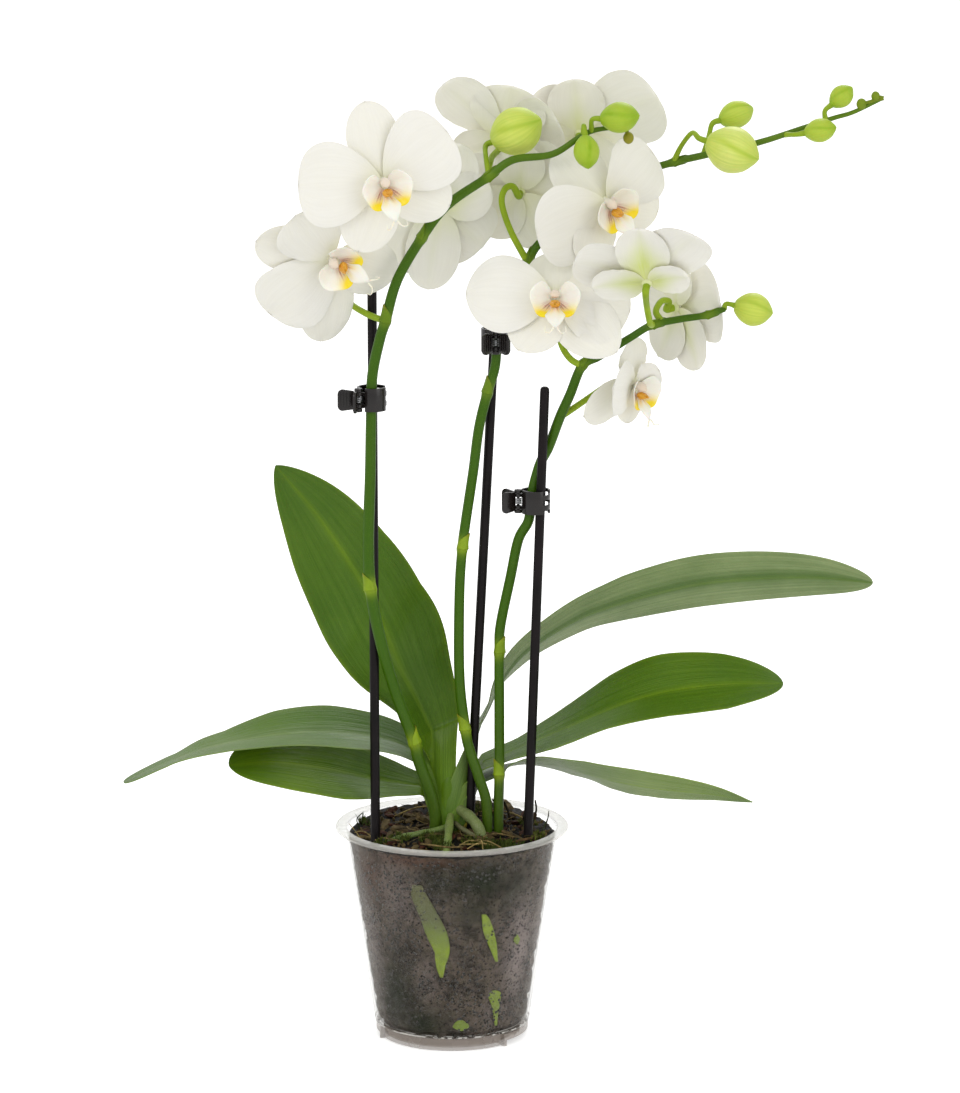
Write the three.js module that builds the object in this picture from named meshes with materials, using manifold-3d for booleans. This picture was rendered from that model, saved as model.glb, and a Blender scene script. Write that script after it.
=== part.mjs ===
// Potted moth orchid: a clear nursery pot of bark with one plant in it, six leaves, three
// flower spikes clipped to black sticks, eleven open flowers and their buds.
// Millimetres, +Z up. The origin is the pot's axis on the surface it stands on, -Y faces the viewer.
import * as THREE from 'three';
import { mergeVertices } from 'three/addons/utils/BufferGeometryUtils.js';
import Module from 'manifold-3d';

const wasm = await Module();
wasm.setup();
const { Manifold, Mesh } = wasm;

// ---- driving dimensions -------------------------------------------------------------------

const GAP = 0.3; // left between touching pieces
const HOLE_CLEARANCE = 0.35; // round each stem, stick and root in the growing medium
const ROUND = 32; // sides of the pot

const POT = {
  height: 111, rimRadius: 60, mouthRadius: 54.4, lipThickness: 2,
  shoulderRadius: 54.6, shoulderHeight: 104, bodyFootRadius: 40, bodyFootHeight: 7,
  footRadius: 37.5, wall: 1.2, floor: 1.5,
  channelInner: 26, channelHeight: 5.5, channelRoof: 1.2, lugBottom: 3,
  // the foot is broken by two drainage channels; angles in degrees from the viewer towards +X
  channels: [[46, 108], [226, 288]],
  slotLength: 8, slotWidth: 2.5, slotRadius: 32, slotsPerChannel: 3,
};

const MEDIUM = { edgeHeight: 103, domeHeight: 5, bump: 1.3, bottomGap: 0.3, smooth: 0.2 };

const STICK_RADIUS = 2.4;
const STICKS = {
  left: { foot: [-38.9, -25.6, 82], top: [-40, -8.6, 404] },
  middle: { foot: [6, -5.5, 50], top: [22, 0, 369] },
  right: { foot: [37.3, -21.5, 60], top: [47.3, -12.5, 342] },
};

const CROWN = {
  at: [-1, 0],
  profile: [[0, 98], [6.5, 100], [7.2, 112], [7, 134], [5, 145], [2.5, 149], [0, 150]],
  sides: 8,
};

// aerial roots: points along each, with its radius at every point
const ROOTS = [
  { points: [[0, -3, 119], [-1, -12, 116], [-2, -30, 109.5], [-3, -45, 106], [-4, -49.4, 99],
    [-9, -46.2, 84], [-9, -43.8, 68], [-5, -41, 42]],
    radii: [2.4, 2.2, 2.1, 2.1, 2.2, 2.4, 2.4, 1.8] },
  { points: [[0, -5, 114], [-4, -13, 112], [-16, -16.5, 110], [-27, -20, 108.5], [-35, -26, 105],
    [-37.5, -31.5, 98]],
    radii: [1.8, 1.7, 1.7, 1.7, 1.6, 1.4] },
  { points: [[2, -3, 121], [10.5, -15, 118], [15, -20, 111], [18, -23, 98]],
    radii: [2.8, 3.2, 3.2, 2.6] },
  { points: [[0, -5, 114], [6, -16, 112], [20, -30, 107.5], [31, -35, 104], [34.5, -36.5, 97]],
    radii: [1.4, 1.3, 1.2, 1.2, 1] },
];

// leaves: the midrib's points, the width at the base and in the middle, how fast it widens (swell)
// and narrows (close), and along it the roll of the blade about the midrib and the lift of its two
// halves, in degrees
const LEAVES = {
  left_upright: { spine: [[-5, 3, 147], [-15.7, 8.1, 169], [-26.7, 10.1, 191.2], [-35.5, 11.7, 213],
    [-45.2, 13.2, 233.5], [-57, 14.5, 253], [-70.5, 15.6, 272.4], [-90.2, 16, 296.1]],
  base: 14, width: 54, swell: 0.8, close: 0.75,
  roll: [30, 38, 62, 90, 96, 100, 100], fold: [33, 30, 18, 16, 16, 9, 3] },
  left_long: { spine: [[-7.5, 2, 139], [-14.4, 3.6, 145.3], [-27, 3.2, 152.5], [-41.8, 0.1, 157.2],
    [-65, -8.5, 161.2], [-92.1, -16.6, 161.5], [-124.8, -22.2, 156.3], [-145.2, -23.9, 149.1],
    [-167.5, -25, 139.4]],
  base: 9, width: 43, swell: 0.75, close: 0.45,
  roll: [26, 25, 20, 11, -2, -6, -2], fold: [14, 13, 12, 10, 4, 2, 0] },
  left_low: { spine: [[-8, 3, 129], [-24, 4, 131], [-41.9, 1.9, 134.6], [-66.4, -11.6, 143],
    [-92, -23.7, 149.1], [-113.3, -31, 149.5]],
  base: 9, width: 41, swell: 1, close: 0.55,
  roll: [28, 29, 38, 40, 35, 30, 28], fold: [10, 11, 14, 10, 7, 4, 3] },
  right_upper: { spine: [[4.5, 3, 147], [16.5, 10, 166], [25.8, 13.1, 184.5], [40.3, 14, 200.8],
    [64.8, 14, 216.4], [85, 14, 224.2], [105.2, 14, 230.1], [126.8, 14, 234.8], [148.5, 14, 237.1],
    [170, 13.4, 238.2], [191.6, 12.2, 238.2], [216.2, 10, 236]],
  base: 9, width: 39, swell: 1, close: 0.55,
  roll: [24, 26, 35, 46, 50, 53, 55], fold: [4, 4, 3, 5, 4, 5, 2] },
  right_middle: { spine: [[5, 4.5, 138], [14, 7.5, 140.8], [27.4, 8.3, 145.7], [44.7, 3.4, 154.4],
    [64.7, -3.7, 164.9], [84.7, -9.3, 175.1], [104.7, -13.1, 182.7], [126.1, -14, 186.6],
    [147.6, -14, 188.3], [169.4, -14, 188.3]],
  base: 11, width: 43, swell: 1, close: 0.55,
  roll: [-6, -12, -24, -27, -31, -35, -28], fold: [4, 4, 7, 13, 14, 9, 6] },
  right_low: { spine: [[5, 4.5, 127], [14, 7, 133.5], [27.4, 10.5, 139.2], [40.3, 7.5, 141.8],
    [54.7, 0, 142.3], [69, -10, 140.7], [84.6, -17, 138.3], [101.9, -19.9, 135.6],
    [119.1, -21.7, 133.9], [136.2, -22.9, 132.2], [153.9, -23, 128.3]],
  base: 9, width: 40, swell: 1, close: 1,
  roll: [2, 8, 24, 32, 32, 36, 38], fold: [-4, -4, -3, 1, 4, 4, 0] },
};
const LEAF = { midThickness: 1.7, edgeThickness: 0.8, rows: 10, columns: 4, crowding: 1.2 };

// flower spikes: the main stem's points and radii; joints are the swollen nodes with their bracts
const SPIKES = {
  left: {
    points: [[-9, -8, 98], [-9, -8, 121], [-17, -12, 148], [-19, -13, 157], [-29, -18, 186],
      [-36, -23.4, 213], [-41, -24, 240], [-42, -22.4, 265], [-41, -20.6, 297], [-40.5, -18.8, 325],
      [-39.8, -17.8, 348],
      [-36, -20, 367], [-33, -22, 377], [-27, -24, 398], [-15, -25, 419], [-2, -26, 436], [18, -26, 450],
      [31, -26, 459], [51, -26, 462], [69, -26, 473], [87, -25, 475.5]],
    radii: [3, 3.1, 3.1, 3.1, 3, 3, 3, 2.9, 2.8, 2.7, 2.7, 2.7, 2.7, 2.6, 2.5, 2.4, 2.2, 2, 1.7, 1.4, 0.9],
    joints: [[-19, -13, 157], [-41, -24, 240], [-33, -22, 377], [-15, -25, 419], [18, -26, 450]],
    tips: [[87.5, -25, 475, 2.4]],
  },
  middle: {
    points: [[18, -10, 98], [18, -10, 123], [14, -10, 138], [9, -9, 153], [7, -8.3, 163], [4, -8, 190],
      [4, -8, 233], [5.4, -7.5, 257], [7, -7.5, 270], [11, -7, 297], [14, -7, 320], [18.3, -6.6, 338],
      [22.3, -6, 352], [23.3, -6, 370], [27, -5, 380], [32, -4, 390], [38.5, -2.8, 404], [44, -2, 413],
      [55, 1, 423], [70, 5, 436], [88, 7, 446], [112, 5.2, 453.7], [127, 3, 457.5], [155, 0, 464.5],
      [177, -2, 472], [192, -2, 477], [202, -2, 480], [217, -2, 487]],
    radii: [2.7, 2.7, 2.7, 2.7, 2.7, 2.7, 2.6, 2.6, 2.6, 2.6, 2.6, 2.6, 2.5, 2.5, 2.4, 2.3, 2.2, 2.1, 2, 2,
      1.9, 1.9, 1.8, 1.6, 1.4, 1.2, 1.1, 0.8],
    joints: [[7, -8.3, 163], [5.4, -7.5, 257], [18.3, -6.6, 338], [38.5, -2.8, 404], [112, 5.2, 453.7]],
    tips: [[206, -2, 484, 2.6], [213, -2, 488, 2.2]],
  },
  right: {
    points: [[24, -8, 98], [24, -8, 121], [24.4, -7.8, 139], [24.4, -7.6, 170], [24.4, -5.6, 203],
      [25, -5, 217], [30, -6, 242], [34, -8, 262], [39, -10.2, 272], [40.3, -10.4, 281],
      [41.4, -10.2, 289], [43.2, -8.9, 296],
      [45.4, -7.9, 302.5], [49.5, -8, 310.5], [55, -10.5, 326], [60, -13, 338], [66, -15, 353],
      [74, -17, 358], [82, -19, 363], [91, -21, 369], [101, -22, 375], [115, -22, 378], [128, -22, 380],
      [137.5, -21, 383]],
    radii: [2.6, 2.6, 2.6, 2.6, 2.6, 2.6, 2.6, 2.6, 2.6, 2.6, 2.6, 2.6, 2.6, 2.6, 2.6, 2.5, 2.4, 2.2, 2,
      1.9, 1.9, 1.8, 1.7, 1.4],
    joints: [[24.4, -7.8, 139], [24.4, -5.6, 203], [66, -15, 353], [101, -22, 375], [128, -22, 380]],
    tips: [],
  },
};
const STEM_SIDES = 5;
const STALK_SIDES = 4;
const NODE = { swell: 0.9, half: 2.2 };
const STEM_SMOOTH = 0.15;

// flowers: where the tepals meet, the way the flower faces as yaw (towards +X), pitch (up) and
// roll, and each tepal's angle round the face, length, width, lift off the face and curl
const FLOWERS = {
  left_1: { spike: 'left', at: [-33.5, -50, 452], face: [12, -6, 12],
    via: [[-2, -26, 436], [-14, -31, 442]],
    tepals: {
      back: [92, 41, 25, 4, -10], petalLeft: [170, 43, 43, 8, -18], petalRight: [25, 40, 43, 10, -18],
      sideLeft: [240, 38, 28, 4, -8], sideRight: [326, 37, 28, 4, -8],
    } },
  left_2: { spike: 'left', at: [-60, -25.5, 410], face: [16, -22, 70],
    via: [[-33, -22, 377], [-43, -16, 380], [-53, -4, 385], [-61, -2, 397], [-63, -10, 409]],
    tepals: {
      back: [95, 41, 25, 4, -8], petalLeft: [158, 43, 42, 6, -14], petalRight: [58, 38, 34, 16, -10],
      sideLeft: [200, 50, 27, 3, -8], sideRight: [271, 36, 30, 6, -8],
    } },
  left_3: { spike: 'left', at: [-6, -2, 432], face: [188, 0, 0],
    via: [[-15, -25, 419], [-12, -16, 423]],
    tepals: {
      back: [109, 34, 26, 0, -10], petalLeft: [223, 31, 36, 12, -20], petalRight: [306, 37, 38, 4, -18],
      sideLeft: [160, 28, 24, 0, -10], sideRight: [279, 42, 27, 0, -8],
    } },
  left_4: { spike: 'left', at: [26, 18, 463], face: [165, 30, 0],
    via: [[18, -26, 450], [19, -18, 454], [20.5, -4, 457.5]],
    tepals: {
      back: [104, 31, 38, 20, -10], petalLeft: [163, 31, 36, 16, -20], petalRight: [48, 42, 30, 10, -10],
      sideLeft: [212, 28, 24, 0, -8], sideRight: [338, 28, 24, 0, -8],
    } },
  middle_1: { spike: 'middle', at: [35, 9.5, 438], face: [170, 10, 0],
    via: [[38.5, -2.8, 404], [30, -4, 420], [25.5, -4, 434], [27, -2, 441], [31, 1, 442]],
    tepals: {
      back: [93, 26, 24, 0, -10], petalLeft: [149, 30, 34, 8, -18], petalRight: [8, 33, 32, 10, -18],
      sideLeft: [250, 31, 28, 4, -8], sideRight: [317, 30, 28, 4, -8],
    } },
  middle_2: { spike: 'middle', at: [77, -14, 437], face: [34, -12, 34], via: [[70, 5, 436], [74, 0, 437]],
    tepals: {
      back: [101, 36, 27, -22, -6], petalLeft: [170, 42, 45, 6, -18], petalRight: [10, 35, 42, 8, -18],
      sideLeft: [221, 34, 26, 12, -8], sideRight: [311, 34, 27, 8, -8],
    } },
  middle_3: { spike: 'middle', at: [65, 30, 465], face: [175, 20, 0],
    via: [[70, 5, 436], [69, 12, 447], [65.5, 20, 458]],
    tepals: {
      back: [86, 31, 28, 6, -10], petalLeft: [151, 46, 44, 4, -14], petalRight: [31, 31, 34, 10, -18],
      sideLeft: [242, 30, 26, 0, -8], sideRight: [329, 30, 26, 0, -8],
    } },
  right_1: { spike: 'right', at: [52, -24, 390], face: [0, 16, 0],
    via: [[66, -15, 353], [60, -17, 357], [55.5, -15, 364], [52.5, -12, 377]],
    tepals: {
      back: [91, 26, 27, -20, -8], petalLeft: [178, 45, 38, 2, -14], petalRight: [350, 39, 40, -4, -8],
      sideLeft: [235, 33, 28, 2, -8], sideRight: [318, 42, 30, 0, -4],
    } },
  right_2: { spike: 'right', at: [97.5, -48, 400.5], face: [170, 40, 0],
    via: [[101, -22, 375], [99.5, -32, 378], [97.5, -42, 388]],
    tepals: {
      back: [88, 37, 26, 10, -10], petalLeft: [128, 43, 32, 10, -18], petalRight: [19, 38, 34, 10, -18],
      sideLeft: [165, 22, 20, 4, -8], sideRight: [356, 28, 22, 0, -8],
    } },
  right_3: { spike: 'right', at: [114, 4, 380], face: [128, 4, -6],
    via: [[106, -22, 376.5], [103, -17, 381], [106, -9, 385], [110, -3, 384]],
    tepals: {
      back: [100, 30, 26, 0, -10], petalLeft: [175, 32, 40, 10, -14], petalRight: [17, 30, 36, 10, -14],
      sideLeft: [248, 34, 27, 4, -8], sideRight: [302, 30, 26, 0, -8],
    } },
  right_4: { spike: 'right', at: [91.5, -4, 341.5], face: [50, -6, 0], lipSize: 0.88,
    via: [[55, -10.5, 326], [62, -7, 330], [72, -2, 336], [80, 0, 341]],
    tepals: {
      back: [96, 25, 21, 8, -10], petalLeft: [172, 30, 28, 26, -16], petalRight: [40, 15, 18, 40, -10],
      sideLeft: [204, 34, 20, -4, -8], sideRight: [268, 20, 18, 6, -8],
    } },
};
const TEPAL = {
  thickness: 0.8, base: 3, start: 1.2, petalFront: 1.7, cup: 2.6, tipHalf: 1, crowding: 1.35, smooth: 0.15,
};
const COLUMN = { radius: 2.2, bottom: 1, top: 9, sides: 6 };

// the lip in the flower's own frame: x to its right, y up, z out of the face
const LIP = {
  lump: { at: [0, -5.2, 6.6], half: [2.2, 2.2, 3.3] },
  lobe: { spine: [[1, -5.2, 6.5], [7, -3, 9.5], [9.8, 4.4, 12.5]], halves: [1.6, 4.6, 2] },
  middle: { spine: [[0, -6, 8], [0, -13.4, 14.8], [0, -18, 15.6]], halves: [1.8, 5.2, 1.3] },
  thickness: 0.8, smooth: 0.15,
};

// buds: centre, the way the tip points, length and width
const BUDS = {
  left_1: { spike: 'left', at: [33, -13.5, 472], tip: [0.86, -0.25, 0.44], size: [28, 24],
    from: [19, -26, 451], via: [[17.5, -20, 459]] },
  left_2: { spike: 'left', at: [67.5, -34.5, 464], tip: [0.1, -0.25, -0.96], size: [17, 13],
    from: [66, -26, 472], via: [[66, -29, 476]] },
  left_3: { spike: 'left', at: [84, -32, 481], tip: [0.97, -0.2, 0.1], size: [20, 15.5],
    from: [70, -26, 473.5] },
  middle_1: { spike: 'middle', at: [141, -15, 462.5], tip: [0.92, -0.2, -0.3], size: [28, 23.5],
    from: [112, 5.2, 453.7], via: [[116, 0, 463], [121, -6, 470]] },
  middle_2: { spike: 'middle', at: [144, 13, 477], tip: [0.9, 0.3, 0.3], size: [19, 14],
    from: [127, 3, 457.5], via: [[130, 8, 467]] },
  middle_3: { spike: 'middle', at: [185, -11, 472], tip: [0.95, -0.2, 0.2], size: [16.5, 12],
    from: [168, -1.2, 468.5] },
  middle_4: { spike: 'middle', at: [196, -2, 488], tip: [0.75, 0, 0.66], size: [14, 11],
    from: [188, -2, 476] },
  right_1: { spike: 'right', at: [152, -19, 382.5], tip: [0.97, 0, -0.2], size: [20, 17],
    from: [137, -21, 383] },
};

// spring clips: the middle of the claws' ring, and the way the claws point round +Z in degrees
const CLIPS = {
  left: { at: [-40.1, -15, 336.5], turn: 40 },
  middle: { at: [22.5, -3.1, 364.5], turn: 90 },
  right: { at: [42.7, -12, 283], turn: 0 },
};
const CLIP = {
  ringInner: 6.4, ringOuter: 7.5, height: 12, hinge: 8.8,
  prongEnd: -14, prongStart: 58, ringEnd: 172,
  fixedProngs: [[-6, -4.2], [-0.9, 0.9], [4.2, 6]], movingProngs: [[-3.7, -1.4], [1.4, 3.7]],
  padAngle: 40, padLength: 10.5, padHeight: 11, padThickness: 1.3,
  knuckleRadius: 2, knuckleRoom: 2.35, bore: 1.15, pin: 0.75,
  fixedKnuckle: [4.2, 6], movingKnuckle: [2.3, 3.9], springRoom: 2.15,
  wire: 0.33, coilRadius: 1.52, coilHeight: 3, coilTurns: 3, coilSteps: 6,
  smooth: 0.06,
};

const COLOURS = {
  pot: 0xd9dcd2, medium: 0x6b5138, root: 0x7d9a45, leaf: 0x2f6b1c, stem: 0x4d7a1f,
  stick: 0x101112, clip: 0x1b1512, spring: 0xb9bcc0, petal: 0xf3f2ea, lip: 0xf0c02a, bud: 0x8db03a,
};

// ---- small geometry helpers ---------------------------------------------------------------

const vector = (triple) => new THREE.Vector3(...triple);
const radians = THREE.MathUtils.degToRad;
const mix = THREE.MathUtils.lerp;

function alongList(values, t) {
  const place = t * (values.length - 1);
  const index = Math.min(Math.floor(place), values.length - 2);
  return mix(values[index], values[index + 1], place - index);
}

function curveThrough(points) {
  return new THREE.CatmullRomCurve3(points.map(vector), false, 'catmullrom', 0.5);
}

function solidFromFaces(points, faces) {
  const vertProperties = new Float32Array(points.flatMap((point) => point.toArray()));
  const signedVolume = faces.reduce((sum, [a, b, c]) =>
    sum + points[a].dot(new THREE.Vector3().crossVectors(points[b], points[c])), 0);
  const outward = signedVolume < 0 ? faces.map(([a, b, c]) => [a, c, b]) : faces;
  return new Manifold(new Mesh({ numProp: 3, vertProperties, triVerts: new Uint32Array(outward.flat()) }));
}

function solidFromGeometry(source) {
  const bare = source.clone();
  bare.deleteAttribute('normal');
  bare.deleteAttribute('uv');
  const merged = mergeVertices(bare, 1e-4);
  const position = merged.getAttribute('position');
  const points = Array.from({ length: position.count }, (_, i) =>
    new THREE.Vector3().fromBufferAttribute(position, i));
  const faces = [];
  for (let i = 0; i < merged.index.count; i += 3) {
    const face = [0, 1, 2].map((corner) => merged.index.getX(i + corner));
    if (new Set(face).size === 3) faces.push(face);
  }
  return solidFromFaces(points, faces);
}

// a skin through closed rings of points, each ring the same length, with flat ends
function loft(rings) {
  const sides = rings[0].length;
  const points = rings.flat();
  const faces = [];
  for (let i = 0; i < rings.length - 1; i += 1) {
    for (let j = 0; j < sides; j += 1) {
      const [a, b] = [i * sides + j, i * sides + ((j + 1) % sides)];
      faces.push([a, b, b + sides], [a, b + sides, a + sides]);
    }
  }
  const last = (rings.length - 1) * sides;
  for (let j = 1; j < sides - 1; j += 1) {
    faces.push([0, j + 1, j], [last, last + j, last + j + 1]);
  }
  return solidFromFaces(points, faces);
}

function tube(points, radii, sides, extraRadius = 0) {
  const curve = curveThrough(points);
  const count = points.length - 1;
  const rings = [];
  let across = null;
  for (let i = 0; i <= count; i += 1) {
    const t = i / count;
    const centre = curve.getPoint(t);
    const ahead = curve.getTangent(t);
    across = (across ?? new THREE.Vector3(0.31, 0.95, 0.07)).clone();
    across.addScaledVector(ahead, -across.dot(ahead)).normalize();
    const beside = new THREE.Vector3().crossVectors(ahead, across);
    const radius = alongList(radii, t) + extraRadius;
    rings.push(Array.from({ length: sides }, (_, j) => {
      const turn = (2 * Math.PI * j) / sides;
      return centre.clone().addScaledVector(across, radius * Math.cos(turn))
        .addScaledVector(beside, radius * Math.sin(turn));
    }));
  }
  return loft(rings);
}

// a sheet with thickness, from a grid of points on its middle surface, both faces split alike
function blade(grid, thicknessAt) {
  const rows = grid.length;
  const columns = grid[0].length;
  const upper = [];
  const lower = [];
  grid.forEach((row, i) => row.forEach((point, j) => {
    const along = grid[Math.min(i + 1, rows - 1)][j].clone().sub(grid[Math.max(i - 1, 0)][j]);
    const across = row[Math.min(j + 1, columns - 1)].clone().sub(row[Math.max(j - 1, 0)]);
    const normal = along.cross(across).normalize();
    const half = thicknessAt(i / (rows - 1), (2 * j) / (columns - 1) - 1) / 2;
    upper.push(point.clone().addScaledVector(normal, half));
    lower.push(point.clone().addScaledVector(normal, -half));
  }));
  const below = upper.length;
  const faces = [];
  for (let i = 0; i < rows - 1; i += 1) {
    for (let j = 0; j < columns - 1; j += 1) {
      const a = i * columns + j;
      const b = a + columns;
      faces.push([a, b, b + 1], [a, b + 1, a + 1]);
      faces.push([below + a, below + b + 1, below + b], [below + a, below + a + 1, below + b + 1]);
    }
  }
  const border = [];
  for (let j = 0; j < columns - 1; j += 1) border.push(j);
  for (let i = 0; i < rows - 1; i += 1) border.push(i * columns + columns - 1);
  for (let j = columns - 1; j > 0; j -= 1) border.push((rows - 1) * columns + j);
  for (let i = rows - 1; i > 0; i -= 1) border.push(i * columns);
  border.forEach((a, k) => {
    const b = border[(k + 1) % border.length];
    faces.push([a, b, below + b], [a, below + b, below + a]);
  });
  return solidFromFaces([...upper, ...lower], faces);
}

function revolve(profile, sides) {
  return solidFromGeometry(new THREE.LatheGeometry(profile.map(([r, z]) => new THREE.Vector2(r, z)), sides))
    .rotate([90, 0, 0]);
}

// an upright block whose outline is a sector of a ring; angles in degrees round +Z from +X
function ringSector(inner, outer, [start, end], [bottom, top], curveSegments = 3) {
  const outline = new THREE.Shape();
  outline.absarc(0, 0, outer, radians(start), radians(end), false);
  outline.absarc(0, 0, inner, radians(end), radians(start), true);
  const settings = { depth: top - bottom, bevelEnabled: false, curveSegments };
  const block = new THREE.ExtrudeGeometry(outline, settings);
  return solidFromGeometry(block.translate(0, 0, bottom));
}

function cylinder(radius, [bottom, top], sides) {
  const drum = new THREE.CylinderGeometry(radius, radius, top - bottom, sides);
  return solidFromGeometry(drum.rotateX(Math.PI / 2).translate(0, 0, (bottom + top) / 2));
}

function box(size, at) {
  return solidFromGeometry(new THREE.BoxGeometry(...size).translate(...at));
}

const joinAll = (solids) => Manifold.union(solids);

function placed(solid, matrix) {
  return solid.transform(matrix.toArray());
}

// ---- the pot and what fills it ------------------------------------------------------------

const fromViewer = ([start, end]) => [start - 90, end - 90];

function channelBlocks(grow) {
  const roof = POT.channelHeight + POT.channelRoof + grow;
  const inner = POT.channelInner - POT.wall - grow;
  const spread = THREE.MathUtils.radToDeg((POT.wall + grow) / POT.channelInner);
  return POT.channels.map((channel) => {
    const [start, end] = fromViewer(channel);
    return ringSector(inner, POT.bodyFootRadius - POT.wall / 2, [start - spread, end + spread], [0, roof]);
  });
}

function pot() {
  const innerFoot = POT.bodyFootRadius - POT.wall;
  const ledge = POT.bodyFootHeight + POT.wall;
  const shell = revolve([
    [0, 0], [POT.footRadius, 0], [POT.footRadius, POT.bodyFootHeight],
    [POT.bodyFootRadius, POT.bodyFootHeight],
    [POT.shoulderRadius, POT.shoulderHeight], [POT.shoulderRadius + 1.6, POT.height - 3],
    [POT.rimRadius, POT.height - POT.lipThickness], [POT.rimRadius, POT.height],
    [POT.mouthRadius, POT.height],
    [POT.shoulderRadius - POT.wall, POT.shoulderHeight], [innerFoot, ledge],
    [POT.footRadius - POT.wall, ledge], [POT.footRadius - POT.wall, POT.floor], [0, POT.floor]], ROUND);
  let body = joinAll([shell, ...channelBlocks(0)]);
  POT.channels.forEach((channel) => {
    const angles = fromViewer(channel);
    const hollow = ringSector(POT.channelInner, innerFoot, angles, [-1, POT.channelHeight]);
    const under = ringSector(POT.channelInner, POT.bodyFootRadius + 2, angles, [-1, POT.lugBottom]);
    body = body.subtract(hollow).subtract(under);
    for (let k = 0; k < POT.slotsPerChannel; k += 1) {
      const turn = mix(angles[0], angles[1], (k + 0.5) / POT.slotsPerChannel);
      const slot = box([POT.slotLength, POT.slotWidth, 4], [POT.slotRadius, 0, POT.channelHeight + 1]);
      body = body.subtract(slot.rotate([0, 0, turn]));
    }
  });
  return body;
}

// the plain shapes that stand in the growing medium; with extra room they cut their own holes
function stickSolid({ foot, top }, extra) {
  const start = [foot[0], foot[1], foot[2] - extra];
  return tube([start, top], [STICK_RADIUS, STICK_RADIUS], 8, extra);
}

function crownSolid(extra) {
  const profile = CROWN.profile.map(([r, z], i) => [r === 0 ? 0 : r + extra, i === 0 ? z - extra : z]);
  return revolve(profile, CROWN.sides).translate([CROWN.at[0], CROWN.at[1], 0]);
}

function rootSolid({ points, radii }, extra) {
  return tube(points, radii, 5, extra);
}

function growingMedium() {
  const inner = POT.wall + GAP;
  const ledge = POT.bodyFootHeight + POT.wall + GAP;
  const bottom = POT.floor + MEDIUM.bottomGap;
  const edge = POT.shoulderRadius - inner;
  const wall = [[0, bottom], [POT.footRadius - inner, bottom], [POT.footRadius - inner, ledge],
    [POT.bodyFootRadius - inner, ledge], [edge, MEDIUM.edgeHeight]];
  const dome = [0.9, 0.62, 0.3, 0].map((share) =>
    [edge * share, MEDIUM.edgeHeight + MEDIUM.domeHeight * (1 - share ** 2)]);
  const lathe = new THREE.LatheGeometry([...wall, ...dome].map(([r, z]) => new THREE.Vector2(r, z)), ROUND);
  const position = lathe.getAttribute('position');
  for (let i = 0; i < position.count; i += 1) {
    const [x, height, z] = [position.getX(i), position.getY(i), position.getZ(i)];
    const r = Math.hypot(x, z);
    if (height > MEDIUM.edgeHeight && r > 1) {
      const wave = Math.sin(x * 0.9) * Math.cos(z * 1.3) + 0.5 * Math.sin(x * 0.37 + z * 0.61);
      position.setY(i, height + MEDIUM.bump * wave);
    }
  }
  const heap = solidFromGeometry(lathe).rotate([90, 0, 0]);
  const holes = [
    ...channelBlocks(GAP),
    ...Object.values(STICKS).map((stick) => stickSolid(stick, HOLE_CLEARANCE)),
    ...Object.values(SPIKES).map(({ points, radii }) => {
      const [foot, above] = points;
      const start = [foot[0], foot[1], foot[2] - HOLE_CLEARANCE];
      return tube([start, above], radii.slice(0, 2), STEM_SIDES, HOLE_CLEARANCE);
    }),
    crownSolid(HOLE_CLEARANCE),
    ...ROOTS.map((root) => rootSolid(root, HOLE_CLEARANCE)),
  ];
  return heap.subtract(joinAll(holes)).simplify(MEDIUM.smooth);
}

function crownAndRoots() {
  return joinAll([crownSolid(0), ...ROOTS.map((root) => rootSolid(root, 0))]);
}

// ---- leaves -------------------------------------------------------------------------------

// half the width of a leaf or tepal at the share u of its length
function halfWidth(u, base, width, swell, close) {
  const peak = swell / (swell + close);
  const shape = (u ** swell * (1 - u) ** close) / (peak ** swell * (1 - peak) ** close);
  return (base / 2) * (1 - u) + (width / 2) * shape;
}

function leafSolid({ spine, base, width, swell, close, roll, fold }) {
  const curve = curveThrough(spine);
  const grid = [];
  for (let i = 0; i <= LEAF.rows; i += 1) {
    const u = 1 - (1 - i / LEAF.rows) ** LEAF.crowding;
    const centre = curve.getPointAt(u);
    const ahead = curve.getTangentAt(u);
    const level = new THREE.Vector3().crossVectors(ahead, new THREE.Vector3(0, 0, 1)).normalize();
    const raised = new THREE.Vector3().crossVectors(level, ahead);
    const turn = radians(alongList(roll, u));
    const side = level.clone().multiplyScalar(Math.cos(turn)).addScaledVector(raised, Math.sin(turn));
    const up = raised.clone().multiplyScalar(Math.cos(turn)).addScaledVector(level, -Math.sin(turn));
    const lift = radians(alongList(fold, u));
    const half = Math.max(halfWidth(u, base, width, swell, close), LEAF.edgeThickness);
    grid.push(Array.from({ length: LEAF.columns + 1 }, (_, j) => {
      const v = (2 * j) / LEAF.columns - 1;
      return centre.clone().addScaledVector(side, half * v * Math.cos(lift))
        .addScaledVector(up, half * Math.abs(v) * Math.sin(lift));
    }));
  }
  return blade(grid, (u, v) => mix(LEAF.midThickness, LEAF.edgeThickness, Math.max(Math.abs(v), u * u)))
    .subtract(crownSolid(GAP));
}

// ---- flowers ------------------------------------------------------------------------------

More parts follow.
